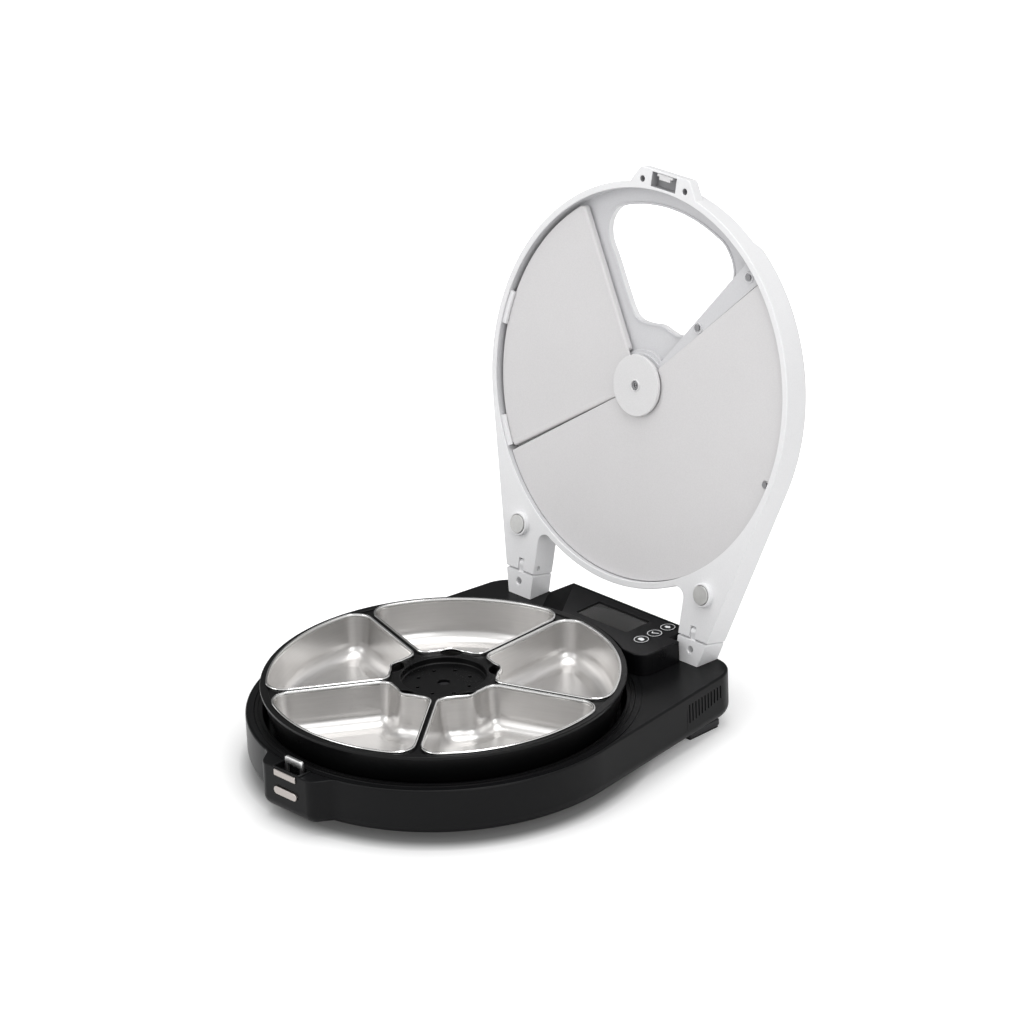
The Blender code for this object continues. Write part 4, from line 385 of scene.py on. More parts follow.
class FinishShelf:
    """Every finish of the feeder, made once on first use."""

    BLACK = PlasticFinish("satin_black", "black_plastic", (0.0056, 0.0057, 0.0062), 0.32, dust=0.001,
                          grain_depth=0.00002, specular=0.13)
    TRAY_BLACK = PlasticFinish("tray_black", "black_plastic", (0.0025, 0.0025, 0.0027), 0.30, dust=0.002,
                               grain_depth=0.00001, specular=0.22)
    WELL_BLACK = PlasticFinish("well_black", "black_plastic", (0.003, 0.003, 0.0033), 0.34, dust=0.002,
                               grain_depth=0.00001, specular=0.18)
    GLOSS_BLACK = PlasticFinish("console_black", "black_plastic", (0.004, 0.004, 0.0046), 0.30, dust=0.003,
                                grain_depth=0.00001, specular=0.2)
    CHARCOAL = PlasticFinish("underside_charcoal", "charcoal_plastic", (0.016, 0.016, 0.018), 0.5, dust=0.02,
                             grain_depth=0.00006)
    SCREEN = PlasticFinish("display_face", "charcoal_plastic", (0.03, 0.031, 0.03), 0.3, dust=0)
    WHITE = PlasticFinish("shell_white", "white_plastic", (0.81, 0.81, 0.82), 0.38, dust=0.02,
                          dust_colour=(0.6, 0.59, 0.57), mottle=0.012, grain_depth=0.00003)
    # Copies of the lid's white darkened as painted shade: the first for the faces inside the lid's recess,
    # the side cover and the shutter floor, the second for the keeper's pocket and the eye bores
    WHITE_PAINTED_SHADE = PlasticFinish("white_painted_shade", "white_plastic", (0.62, 0.62, 0.635), 0.45, dust=0.015,
                               dust_colour=(0.5, 0.5, 0.48), mottle=0.012, grain_depth=0.00003)
    POCKET_PAINTED_SHADE = PlasticFinish("pocket_painted_shade", "white_plastic", (0.36, 0.36, 0.37), 0.5, dust=0, mottle=0.012,
                           grain_depth=0.00003)
    PANEL = PlasticFinish("panel_grey", "grey_plastic", (0.66, 0.65, 0.655), 0.45, dust=0.015,
                          dust_colour=(0.5, 0.5, 0.48), mottle=0.014, grain_depth=0.00004)
    HUB = PlasticFinish("hub_grey", "grey_plastic", (0.71, 0.705, 0.71), 0.42, dust=0.015,
                        dust_colour=(0.5, 0.5, 0.48), mottle=0.012, grain_depth=0.00003)
    MATT_BLACK = PlasticFinish("facet_black", "black_plastic", (0.0035, 0.0035, 0.0038), 0.6, dust=0,
                               specular=0.03)
    PRINT = PlasticFinish("button_print", "black_plastic", (0.82, 0.83, 0.84), 0.5, dust=0, mottle=0.02,
                          grain_depth=0.00001)
    FOAM = PlasticFinish("foam", "foam", (0.78, 0.77, 0.70), 0.9, grain_scale=420, grain_depth=0.0003)
    BOARD = PlasticFinish("board_green", "board", (0.02, 0.13, 0.06), 0.4, grain_scale=300, coat=0.4)
    CERAMIC = PlasticFinish("module_ceramic", "ceramic", (0.8, 0.8, 0.77), 0.6)
    RUBBER = PlasticFinish("pad_rubber", "rubber", (0.012, 0.012, 0.012), 0.8, grain_scale=600,
                           grain_depth=0.00008)
    GLASS = PlasticFinish("smoked_pane", "smoked_glass", (0.016, 0.0155, 0.015), 0.12, dust=0.003,
                          grain_depth=0.000004, coat=0.35, spread=0.02)
    STEEL = MetalFinish("bowl_steel", "stainless", (0.67, 0.66, 0.65), 0.31, Brush.UPRIGHT, 0.0000008, 0.03,
                        0.02)
    RIM_STEEL = MetalFinish("rim_steel", "stainless", (0.86, 0.86, 0.85), 0.14, Brush.NONE, 0.000003, 0.03,
                            0.02)
    STRIP_STEEL = MetalFinish("strip_steel", "stainless", (0.55, 0.51, 0.485), 0.36, Brush.ACROSS, 0.00002,
                              0.12)
    MAGNET = MetalFinish("magnet_face", "stainless", (0.62, 0.62, 0.61), 0.38, Brush.NONE, 0.00003, 0.1)
    BRIGHT = MetalFinish("bright_plating", "bright_metal", (0.86, 0.86, 0.86), 0.30, Brush.NONE, 0.000002,
                         0.03, 0.02)
    SCREW = MetalFinish("screw_steel", "bright_metal", (0.30, 0.30, 0.31), 0.38, Brush.NONE, 0.000004, 0.06)
    ALUMINIUM = MetalFinish("cast_aluminium", "aluminium", (0.74, 0.75, 0.76), 0.36, Brush.DEEP, 0.00004, 0.1)

    def __init__(self) -> None:
        """Starts with no material made."""
        self.made: dict[str, bpy.types.Material] = {}

    def dress(self, item: bpy.types.Object, *finishes: PlasticFinish | MetalFinish) -> None:
        """Gives an object its finishes, one for each material slot.

        Args:
            item: The object.
            finishes: The finishes, in the order of the slots.
        """
        if item.data.materials:
            item.data.materials.clear()
        for finish in finishes:
            if finish.name not in self.made:
                self.made[finish.name] = finish.material()
            item.data.materials.append(self.made[finish.name])


SHELF = FinishShelf()


# Outlines
def arc(centre: Point, radius: float, start: float, end: float, steps: int) -> list[Point]:
    """Points along an arc.

    Args:
        centre: Middle of the arc.
        radius: Its radius.
        start: First angle.
        end: Last angle.
        steps: Number of chords.

    Returns:
        The points, both ends included.
    """
    return [(centre[0] + radius * math.cos(start + (end - start) * i / steps),
             centre[1] + radius * math.sin(start + (end - start) * i / steps)) for i in range(steps + 1)]


def ring_points(radius: float, steps: int = ROUND, at: Point = (0, 0)) -> list[Point]:
    """Points round a full circle."""
    return arc(at, radius, 0, math.tau * (steps - 1) / steps, steps - 1)


def spun(points: Iterable[Point], angle: float) -> list[Point]:
    """The outline turned about the origin."""
    c, s = math.cos(angle), math.sin(angle)
    return [(x * c - y * s, x * s + y * c) for x, y in points]


def mirrored(points: Sequence[Point]) -> list[Point]:
    """The outline on the other side, running the same way round."""
    return [(-x, y) for x, y in reversed(points)]


def inset(points: Sequence[Point], distance: float) -> list[Point]:
    """Moves a counter-clockwise outline inwards along its corners' bisectors.

    Args:
        points: The outline.
        distance: How far, negative to grow it.

    Returns:
        The moved outline with as many points.
    """
    moved = []
    count = len(points)
    for i in range(count):
        here = Vector(points[i])
        before = (here - Vector(points[i - 1])).normalized()
        after = (Vector(points[(i + 1) % count]) - here).normalized()
        inward = Vector((-before.y, before.x)) + Vector((-after.y, after.x))
        size = inward.length
        if size < 1e-9:
            moved.append(tuple(here))
            continue
        inward /= size
        reach = distance / max(0.35, inward.dot(Vector((-after.y, after.x))))
        moved.append(tuple(here + inward * reach))
    return moved


def rounded(points: Sequence[Point], radii: Sequence[float] | float, steps: int = CORNER) -> list[Point]:
    """Rounds the corners of a polygon.

    Args:
        points: The polygon's corners.
        radii: One radius for all corners, or one each.
        steps: Chords for each corner.

    Returns:
        The rounded outline.
    """
    given = [radii] * len(points) if isinstance(radii, (int, float)) else list(radii)
    made: list[Point] = []
    count = len(points)
    for i in range(count):
        here = Vector(points[i])
        back = Vector(points[i - 1]) - here
        ahead = Vector(points[(i + 1) % count]) - here
        if given[i] <= 0:
            made.append(tuple(here))
            continue
        half = back.angle(ahead) / 2
        away = min(given[i] / math.tan(half), back.length * 0.49, ahead.length * 0.49)
        radius = away * math.tan(half)
        start = here + back.normalized() * away
        end = here + ahead.normalized() * away
        middle = here + (back.normalized() + ahead.normalized()).normalized() * (radius / math.sin(half))
        first = math.atan2(start.y - middle.y, start.x - middle.x)
        last = math.atan2(end.y - middle.y, end.x - middle.x)
        sweep = (last - first + math.pi) % math.tau - math.pi
        made += arc(tuple(middle), radius, first, first + sweep, steps)
    return made


def flowing(points: Sequence[Point], steps: int = 8) -> list[Point]:
    """A smooth closed curve through points.

    Args:
        points: The points that it passes.
        steps: Chords between two points.

    Returns:
        The curve's points.
    """
    made = []
    count = len(points)
    for i in range(count):
        a, b, c, d = (Vector(points[(i + k) % count]) for k in (-1, 0, 1, 2))
        for j in range(steps):
            t = j / steps
            spot = 0.5 * (2 * b + (c - a) * t + (2 * a - 5 * b + 4 * c - d) * t ** 2
                          + (3 * b - a - 3 * c + d) * t ** 3)
            made.append((spot.x, spot.y))
    return made


def pill(half: float, tall: float, grow: float = 0) -> list[Point]:
    """A pill outline about the origin.

    Args:
        half: Half of its length.
        tall: Its height.
        grow: How far the outline is moved outwards.

    Returns:
        The outline.
    """
    reach = half - tall / 2
    return (arc((reach, 0), tall / 2 + grow, -math.pi / 2, math.pi / 2, 2 * CORNER)
            + arc((-reach, 0), tall / 2 + grow, math.pi / 2, 3 * math.pi / 2, 2 * CORNER))


def oblong(x0: float, y0: float, x1: float, y1: float) -> list[Point]:
    """A rectangle's corners, counter-clockwise."""
    return [(x0, y0), (x1, y0), (x1, y1), (x0, y1)]


def sector(inner: float, outer: float, half: float, side: float, inner_corner: float,
           outer_corner: float, steps: int) -> list[Point]:
    """A rounded sector about +X, its sides kept off the dividing rays.

    Args:
        inner: Inner radius.
        outer: Outer radius.
        half: Half of the angle.
        side: Distance kept from each dividing ray.
        inner_corner: Radius of the inner corners.
        outer_corner: Radius of the outer corners.
        steps: Chords of half the outer arc.

    Returns:
        The outline.
    """
    ray = Vector((math.cos(half), math.sin(half)))
    inward = Vector((math.sin(half), -math.cos(half)))
    far, near = side + outer_corner, side + inner_corner
    top = ray * math.sqrt((outer - outer_corner) ** 2 - far ** 2) + inward * far
    low = ray * math.sqrt((inner + inner_corner) ** 2 - near ** 2) + inward * near
    top_angle, low_angle = math.atan2(top.y, top.x), math.atan2(low.y, low.x)
    square = half + math.pi / 2
    upper = arc((0, 0), outer, 0, top_angle, steps)
    upper += arc(top, outer_corner, top_angle, square, CORNER)[1:]
    upper += arc(low, inner_corner, square, low_angle + math.pi, CORNER)
    upper += arc((0, 0), inner, low_angle, 0, steps)[1:]
    return upper + [(x, -y) for x, y in reversed(upper[1:-1])]


def pie(inner: float, outer: float, start: float, end: float) -> list[Point]:
    """A ring sector's outline.

    Args:
        inner: Inner radius.
        outer: Outer radius.
        start: First angle in degrees.
        end: Last angle in degrees.

    Returns:
        The outline.
    """
    first, last = math.radians(start), math.radians(end)
    steps = max(3, round(ROUND * (last - first) / math.tau))
    return arc((0, 0), outer, first, last, steps) + arc((0, 0), inner, last, first, max(3, steps // 2))


# Solids
class Solid:
    """A mesh in the making, with the solids that cut or join it."""

    def __init__(self, bm: bmesh.types.BMesh, name: str = "draft") -> None:
        """Takes over the faces of a bmesh.

        Args:
            bm: The bmesh, which is freed.
            name: Name of the draft.
        """
        bmesh.ops.remove_doubles(bm, verts=bm.verts, dist=MERGE)
        bmesh.ops.recalc_face_normals(bm, faces=bm.faces)
        mesh = bpy.data.meshes.new(name)
        bm.to_mesh(mesh)
        bm.free()
        self.item = bpy.data.objects.new(name, mesh)
        bpy.context.scene.collection.objects.link(self.item)
        self.tools: list["Solid"] = []

    @classmethod
    def loft(cls, rings: Sequence[Sequence[tuple[float, float, float]]], capped: bool = True,
             looped: bool = False) -> "Solid":
        """A skin over rings with as many points each.

        Args:
            rings: The rings' points.
            capped: Whether the first and last ring are closed by faces.
            looped: Whether the last ring joins the first.

        Returns:
            The solid.
        """
        bm = bmesh.new()
        made = [[bm.verts.new(p) for p in ring] for ring in rings]
        pairs = list(zip(made, made[1:])) + ([(made[-1], made[0])] if looped else [])
        for low, high in pairs:
            for i in range(len(low)):
                j = (i + 1) % len(low)
                bm.faces.new((low[i], low[j], high[j], high[i]))
        if capped and not looped:
            bm.faces.new(list(reversed(made[0])))
            bm.faces.new(made[-1])
        return cls(bm)

    @classmethod
    def prism(cls, outline: Sequence[Point], z0: float, z1: float, low: float = 0, high: float = 0,
              steps: int = 4) -> "Solid":
        """An outline made thick, its lower and upper edges rounded.

        Args:
            outline: Counter-clockwise outline.
            z0: Bottom.
            z1: Top.
            low: Radius of the lower edge.
            high: Radius of the upper edge, negative for a flare.
            steps: Chords of each rounding.

        Returns:
            The solid.
        """
        rings = []
        if low:
            for i in range(steps):
                a = math.pi / 2 * i / steps
                rings.append((low * (1 - math.sin(a)), z0 + abs(low) * (1 - math.cos(a))))
        rings.append((0, z0 + abs(low)))
        rings.append((0, z1 - abs(high)))
        if high:
            for i in range(1, steps + 1):
                a = math.pi / 2 * i / steps
                rings.append((high * (1 - math.cos(a)), z1 - abs(high) * (1 - math.sin(a))))
        return cls.loft([[(x, y, z) for x, y in (inset(outline, d) if d else outline)] for d, z in rings])

    @classmethod
    def plug(cls, outline: Sequence[Point], z0: float, surface: float, lip: float) -> "Solid":
        """A cutter whose hole has a rounded lip at the surface.

        Args:
            outline: Outline of the hole.
            z0: Bottom of the hole.
            surface: Level of the surface.
            lip: Radius of the lip.

        Returns:
            The cutter.
        """
        rings = [(0, z0), (0, surface - lip)]
        for i in range(1, 4):
            a = math.pi / 2 * i / 3
            rings.append((-lip * (1 - math.cos(a)), surface - lip + lip * math.sin(a)))
        rings.append((-lip * 1.02, surface + OVERRUN))
        return cls.loft([[(x, y, z) for x, y in (inset(outline, d) if d else outline)] for d, z in rings])

    @classmethod
    def block(cls, low: Sequence[float], high: Sequence[float], edge: float = 0) -> "Solid":
        """A block with rounded upright and level edges.

        Args:
            low: Its lowest corner.
            high: Its highest corner.
            edge: Radius of the level edges.

        Returns:
            The block.
        """
        outline = oblong(low[0], low[1], high[0], high[1])
        if edge:
            outline = rounded(outline, edge * 1.4, 3)
        return cls.prism(outline, low[2], high[2], edge, edge, 3)

    @classmethod
    def rod(cls, radius: float, z0: float, z1: float, at: Point = (0, 0), edge: float = 0,
            steps: int = MINOR) -> "Solid":
        """An upright round rod with rounded ends.

        Args:
            radius: Its radius.
            z0: Bottom.
            z1: Top.
            at: Where its axis stands.
            edge: Radius of its end edges.
            steps: Chords round it.

        Returns:
            The rod.
        """
        return cls.prism(ring_points(radius, steps, at), z0, z1, edge, edge, 3)

    @classmethod
    def lathe(cls, profile: Sequence[Point], steps: int = ROUND) -> "Solid":
        """A closed profile in radius and height, turned about the upright axis.

        Args:
            profile: Radius and height of each point.
            steps: Chords round it.

        Returns:
            The turned solid.
        """
        rings = [[(r * math.cos(math.tau * i / steps), r * math.sin(math.tau * i / steps), z)
                  for i in range(steps)] for r, z in profile]
        return cls.loft(rings, capped=False, looped=True)

    @classmethod
    def bundle(cls, solids: Sequence["Solid"]) -> "Solid":
        """Several solids that don't touch, as one.

        Args:
            solids: The solids, which are used up.

        Returns:
            The one solid.
        """
        bm = bmesh.new()
        for solid in solids:
            solid.settle()
            bm.from_mesh(solid.item.data)
            solid.discard()
        return cls(bm)

    def turn(self, matrix: Matrix) -> "Solid":
        """Moves the mesh itself."""
        self.item.data.transform(matrix)
        return self

    def _boolean(self, others: Iterable["Solid"], operation: str) -> "Solid":
        """Adds a Boolean for each other solid.

        Args:
            others: The other solids.
            operation: DIFFERENCE or UNION.

        Returns:
            This solid.
        """
        for other in others:
            step = self.item.modifiers.new("Boolean", "BOOLEAN")
            step.operation = operation
            step.solver = "EXACT"
            step.object = other.item
            self.tools.append(other)
        return self

    def cut(self, *others: "Solid") -> "Solid":
        """Takes other solids away."""
        return self._boolean(others, "DIFFERENCE")

    def join(self, *others: "Solid") -> "Solid":
        """Unites other solids with this one."""
        return self._boolean(others, "UNION")

    def settle(self) -> "Solid":
        """Applies all modifiers to the mesh.

        Returns:
            This solid.
        """
        if self.item.modifiers:
            bpy.context.view_layer.update()
            graph = bpy.context.evaluated_depsgraph_get()
            mesh = bpy.data.meshes.new_from_object(self.item.evaluated_get(graph))
            self.item.modifiers.clear()
            self.item.data = mesh
        for tool in self.tools:
            tool.discard()
        self.tools = []
        return self

    def discard(self) -> None:
        """Removes the solid and what shapes it."""
        for tool in self.tools:
            tool.discard()
        self.tools = []
        bpy.data.objects.remove(self.item, do_unlink=True)

    def piece(self, name: str, body: str, *finishes: PlasticFinish | MetalFinish,
              replaces: Sequence[str] = (), keep_faces: bool = False) -> bpy.types.Object:
        """Finishes the solid as a piece of the feeder.

        Args:
            name: The piece's name.
            body: The body that it rides on.
            finishes: Its finishes.
            replaces: The nodes that it stands for.
            keep_faces: Whether faces keep their material index.

        Returns:
            The object.
        """
        self.settle()
        item = self.item
        item.name = name
        item.data.name = name
        SHELF.dress(item, *finishes)
        if not keep_faces:
            for face in item.data.polygons:
                face.material_index = 0
        item.data.shade_smooth()
        item.data.set_sharp_from_angle(angle=math.radians(31))
        item.modifiers.new("Even", "WEIGHTED_NORMAL").keep_sharp = True
        self.settle()
        item.data.name = name
        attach(item, body)
        if replaces:
            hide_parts(*replaces)
        LOG.info("%s on %s: %d faces", name, body, len(item.data.polygons))
        return item


def axis_shift() -> Matrix:
    """Moves from the turntable's axis to the shared frame."""
    low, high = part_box("drive_hub")
    return Matrix.Translation(((low.x + high.x) / 2, (low.y + high.y) / 2, 0))


SHIFT = axis_shift()
FACE_FRONT = Matrix.Rotation(math.pi / 2, 4, "X")


def facing_front(solid: Solid, y: float, z: float, x: float = 0) -> Solid:
    """Stands a flat solid up so that its top faces the front.

    Args:
        solid: The solid.
        y: Where its level 0 goes.
        z: Height of its middle.
        x: Sideways place of its middle.

    Returns:
        The same solid.
    """
    return solid.turn(Matrix.Translation((x, y, z)) @ FACE_FRONT)


@dataclass
class Base:
    """Black outer shell, bottom plate, feet and the latch boss."""

    radius: float = 0.1576
    taper: float = math.radians(8)
    rear_y: float = 0.198
    corner: float = 0.026
    bottom_z: float = 0.008
    wall: float = 0.0026
    under: float = 0.010
    edge: float = 0.0019
    flange: float = 0.003
    boss_front: float = -0.1685
    boss_half: float = 0.028
    boss_root: Point = (0.039, -0.1515)
    boss_bottom: float = 0.0095
    boss_under: float = 0.009
    pocket_half: float = 0.0135
    pocket_back: float = -0.1562
    pocket_deep: float = 0.0044
    pill_size: Point = (0.013, 0.0066)
    pill_z: float = 0.029
    vents: int = 11
    vent_first: float = 0.1327
    vent_pitch: float = 0.00408
    vent_wide: float = 0.0015
    vent_top: float = 0.0402
    vent_tall: float = 0.0165
    vent_short: float = 0.68
    ring_r: float = 0.1505
    groove_r: float = 0.1556
    foot_half: Point = (0.0165, 0.017)
    neck_half: float = 0.0066
    pad_top: float = 0.002
    screw_bore: float = 0.0018
    screws: tuple[Point, Point] = ((0.088, 0.170), (0.060, -0.060))

    def outline(self) -> list[Point]:
        """Round front, straight tapering flanks and round rear corners.

        Returns:
            The shell's plan.
        """
        cy = self.rear_y - self.corner
        cx = (self.radius - self.corner - cy * math.sin(self.taper)) / math.cos(self.taper)
        points = arc((cx, cy), self.corner, self.taper, math.pi / 2, 14)
        points += arc((-cx, cy), self.corner, math.pi / 2, math.pi - self.taper, 14)
        points += arc((0, 0), self.radius, math.pi - self.taper, math.tau + self.taper, ROUND * 5 // 8)
        return points

    def boss(self, off: float) -> list[Point]:
        """Plan of the front boss, flared where it meets the flank.

        Args:
            off: How far it is moved inwards.

        Returns:
            The plan.
        """
        root, back = self.boss_root[0], self.boss_root[1] * 0.8
        right = [(self.boss_half, self.boss_front), (0.0372, -0.1543), (0.0435, -0.1508), (root, back)]
        points = rounded(right + mirrored(right), [0.0102, 0.008, 0, 0, 0, 0, 0.008, 0.0102], 8)
        return inset(points, off) if off else points

    def flank(self, along_y: float, z: float) -> Matrix:
        """Frame on the right flank: X leaves it and Y runs to the rear.

        Args:
            along_y: Place along the depth.
            z: Height.

        Returns:
            The frame.
        """
        c, s = math.cos(self.taper), math.sin(self.taper)
        run = (along_y - self.radius * s) / c
        return (Matrix.Translation((self.radius * c - run * s, self.radius * s + run * c, z))
                @ Matrix.Rotation(self.taper, 4, "Z"))

    def shell(self) -> None:
        """Builds the shell with its deck, boss, pocket, vents and grooves."""
        body = Solid.prism(self.outline(), self.bottom_z, DECK_Z, self.under, self.edge, 8)
        boss = Solid.prism(self.boss(0), self.boss_bottom, DECK_Z, self.boss_under, 0.0012, 8)
        body.join(boss, self.collar()).settle()
        inner = inset(self.outline(), self.wall)
        cavity = Solid.prism(inner, self.bottom_z + self.wall, DECK_Z - self.wall,
                             self.under - self.wall, 0, 8)
        front = Solid.prism(self.boss(self.wall), self.boss_bottom + self.wall, DECK_Z - 0.007,
                            self.boss_under - self.wall, 0, 6)
        hatch = Solid.prism(inset(self.outline(), self.under + self.flange), self.bottom_z - OVERRUN,
                            self.bottom_z + self.wall + OVERRUN)
        body.cut(cavity, front, hatch)
        opening = Solid.rod(0.1453, DECK_Z - self.wall - OVERRUN, DECK_Z + OVERRUN, steps=ROUND)
        seat = Solid.plug(ring_points(self.ring_r + HAIR), DECK_Z - 0.0012 - HAIR, DECK_Z, 0.0003)
        r, low, high = self.groove_r, DECK_Z - 0.0006, DECK_Z + OVERRUN
        groove = Solid.lathe([(r, low), (r + 0.0007, low), (r + 0.0010, high), (r - 0.0003, high)])
        body.cut(opening, seat, groove).settle()
        body.cut(*self.latch_cuts(), self.vent_cuts(), self.seam_cuts())
        body.settle().turn(SHIFT)
        body.piece("base_case", "base", FinishShelf.BLACK, replaces=["base_shell"])

    def collar(self) -> Solid:
        """Low lip round the latch pocket, standing on the boss.

        Returns:
            The lip.
        """
        half = self.pocket_half + 0.0022
        outline = rounded(oblong(-half, self.boss_front + 0.0003, half, self.pocket_back + 0.003), 0.0022, 5)
        return Solid.prism(outline, DECK_Z - 0.0020, DECK_Z + 0.0009, 0, 0.0006, 3)

    def latch_cuts(self) -> list[Solid]:
        """Pocket, bail slot and the hole of the release pill.

        Returns:
            The three cutters.
        """
        floor = DECK_Z - self.pocket_deep
        pocket = Solid.plug(rounded(oblong(-self.pocket_half, self.boss_front + 0.0012, self.pocket_half,
                                           self.pocket_back), 0.0015, 4), floor, DECK_Z + 0.0009, 0.0004)
        slot = Solid.block((-0.0103, -0.1603, DECK_Z - 0.012), (0.0103, -0.1567, DECK_Z))
        hole = Solid.plug(pill(*self.pill_size, 0.0004), -0.006, 0, 0.0004)
        facing_front(hole, self.boss_front, self.pill_z)
        return [pocket, slot, hole]

    def vent_cuts(self) -> Solid:
        """Upright slots that get shorter to the rear.

        Returns:
            All slots as one cutter.
        """
        slots = []
        for i in range(self.vents):
            share = 1 + (self.vent_short - 1) * i / (self.vents - 1)
            tall = self.vent_tall * share
            half = self.vent_wide / 2
            outline = rounded(oblong(-half, -tall, half, 0), half * 0.8, 3)
            slot = Solid.prism(outline, -2 * self.wall, OVERRUN)
            stand = Matrix.Rotation(math.pi / 2, 4, "Y") @ Matrix.Rotation(math.pi / 2, 4, "Z")
            slots.append(slot.turn(self.flank(self.vent_first + self.vent_pitch * i, self.vent_top) @ stand))
        return Solid.bundle(slots)

    def seam_cuts(self) -> Solid:
        """Parting line beside the vents and two short marks beside the latch.

        Returns:
            The lines as one cutter.
        """
        seam = Solid.block((-0.0005, -0.0002, -0.019), (OVERRUN, 0.0002, 0)).turn(self.flank(0.1295, 0.0375))
        marks = [Solid.block((side * 0.024 - 0.0035, -0.1545, DECK_Z - 0.0004),
                             (side * 0.024 + 0.0035, -0.1541, DECK_Z + OVERRUN)) for side in (-1, 1)]
        return Solid.bundle([seam, *marks])

    def bottom(self) -> None:
        """Builds the bottom plate with its four foot blocks."""
        plate = Solid.prism(inset(self.outline(), self.under + self.flange + HAIR), self.bottom_z,
                            self.bottom_z + self.wall, 0.0004, 0.0004, 2)
        half_x, half_y = self.foot_half
        neck = self.neck_half
        for x, y, nx, ny in ((0.1125, 0.161, 0.103, 0.158), (0.0659, -0.0913, 0.0659, -0.0913)):
            for side in (-1, 1):
                plate.join(Solid.block((side * x - half_x, y - half_y, self.pad_top),
                                       (side * x + half_x, y + half_y, self.bottom_z - HAIR), 0.0012),
                           Solid.block((side * nx - neck, ny - neck, self.pad_top + 0.0017),
                                       (side * nx + neck, ny + neck, self.bottom_z + self.wall / 2)))
        for x, y in self.screws:
            for side in (-1, 1):
                plate.cut(Solid.rod(self.screw_bore, self.pad_top, 0.0120, (side * x, y)))
        plate.settle().turn(SHIFT)
        plate.piece("bottom_plate", "base", FinishShelf.CHARCOAL, replaces=["base_bottom"])

    def latch(self) -> None:
        """Builds the bail, the strip and the release pill."""
        tall, half, bar, corner = 0.0357, 0.010, 0.0062, 0.0024
        outline = arc((half - corner, tall - corner), corner, 0, math.pi / 2, 6)
        outline += arc((corner - half, tall - corner), corner, math.pi / 2, math.pi, 6)
        foot = [(-half, 0.003), (-0.0112, 0.003), (-0.0112, 0), (-0.007, 0), (-0.007, tall - bar)]
        outline += foot + mirrored(foot)
        bail = Solid.prism(outline, 0, 0.003, 0.0006, 0.0010, 4)
        facing_front(bail, -0.157, 0.0195).turn(SHIFT)
        bail.piece("bail", "bail", FinishShelf.BRIGHT, replaces=["latch_bail"])
        plan = rounded(oblong(-0.0122, -0.00255, 0.0122, 0.00255), 0.0006, 3)
        strip = Solid.prism(plan, 0, 0.0009, 0, 0.0003, 2)
        facing_front(strip, self.boss_front - 0.0003, 0.0439).turn(SHIFT)
        strip.piece("latch_strip", "base", FinishShelf.STRIP_STEEL, replaces=["latch_plate"])
        button = Solid.prism(pill(*self.pill_size), -0.0032, 0.0016, 0, 0.0006, 4)
        flange = Solid.prism(pill(*self.pill_size, 0.0012), -0.0041, -0.0029)
        button.join(flange).settle()
        facing_front(button, self.boss_front, self.pill_z).turn(SHIFT)
        button.piece("release_pill", "release", FinishShelf.STRIP_STEEL, replaces=["release_button"])

    def build(self) -> None:
        """Builds every piece of the base."""
        self.shell()
        self.bottom()
        self.latch()


@dataclass
class Well:
    """The cold well: a round pan with a stepped ring on the deck."""

    radius: float = 0.145
    wall: float = 0.0016
    ring_r: float = 0.1505
    floor_z: float = 0.031
    foot: float = 0.0055
    column: Point = (0.060, -0.060)

    def profile(self) -> list[Point]:
        """Section of the pan, from the collar outwards.

        Returns:
            Radius and height of each point.
        """
        inner = self.radius - self.wall
        points = [(0.009, 0.0355), (0.0106, 0.0355), (0.0106, self.floor_z)]
        points += arc((inner - self.foot, self.floor_z + self.foot), self.foot, -math.pi / 2, 0, 6)
        points += [(inner, DECK_Z - 0.0012)]
        points += arc((inner + 0.0010, DECK_Z - 0.0010), 0.0010, math.pi, math.pi / 2, 4)
        points += [(0.1466, DECK_Z), (0.1468, DECK_Z - 0.0006), (0.1476, DECK_Z - 0.0006), (0.1478, DECK_Z),
                   (self.ring_r - 0.0003, DECK_Z), (self.ring_r, DECK_Z - 0.0003),
                   (self.ring_r, DECK_Z - 0.0012), (self.radius, DECK_Z - 0.0012)]
        under = self.floor_z - self.wall
        points += arc((self.radius - self.foot, under + self.foot), self.foot, 0, -math.pi / 2, 6)
        points += [(0.009, under)]
        return points

    def build(self) -> None:
        """Builds the pan with its two screw columns."""
        pan = Solid.lathe(self.profile())
        spots = [(side * self.column[0], self.column[1]) for side in (-1, 1)]
        columns = [Solid.rod(0.004, 0.0109, 0.0302, spot) for spot in spots]
        bores = [Solid.rod(0.0018, 0.008, 0.024, spot) for spot in spots]
        pan.join(Solid.bundle(columns)).cut(Solid.bundle(bores)).settle().turn(SHIFT)
        pan.piece("well_pan", "base", FinishShelf.WELL_BLACK, replaces=["well_liner"])


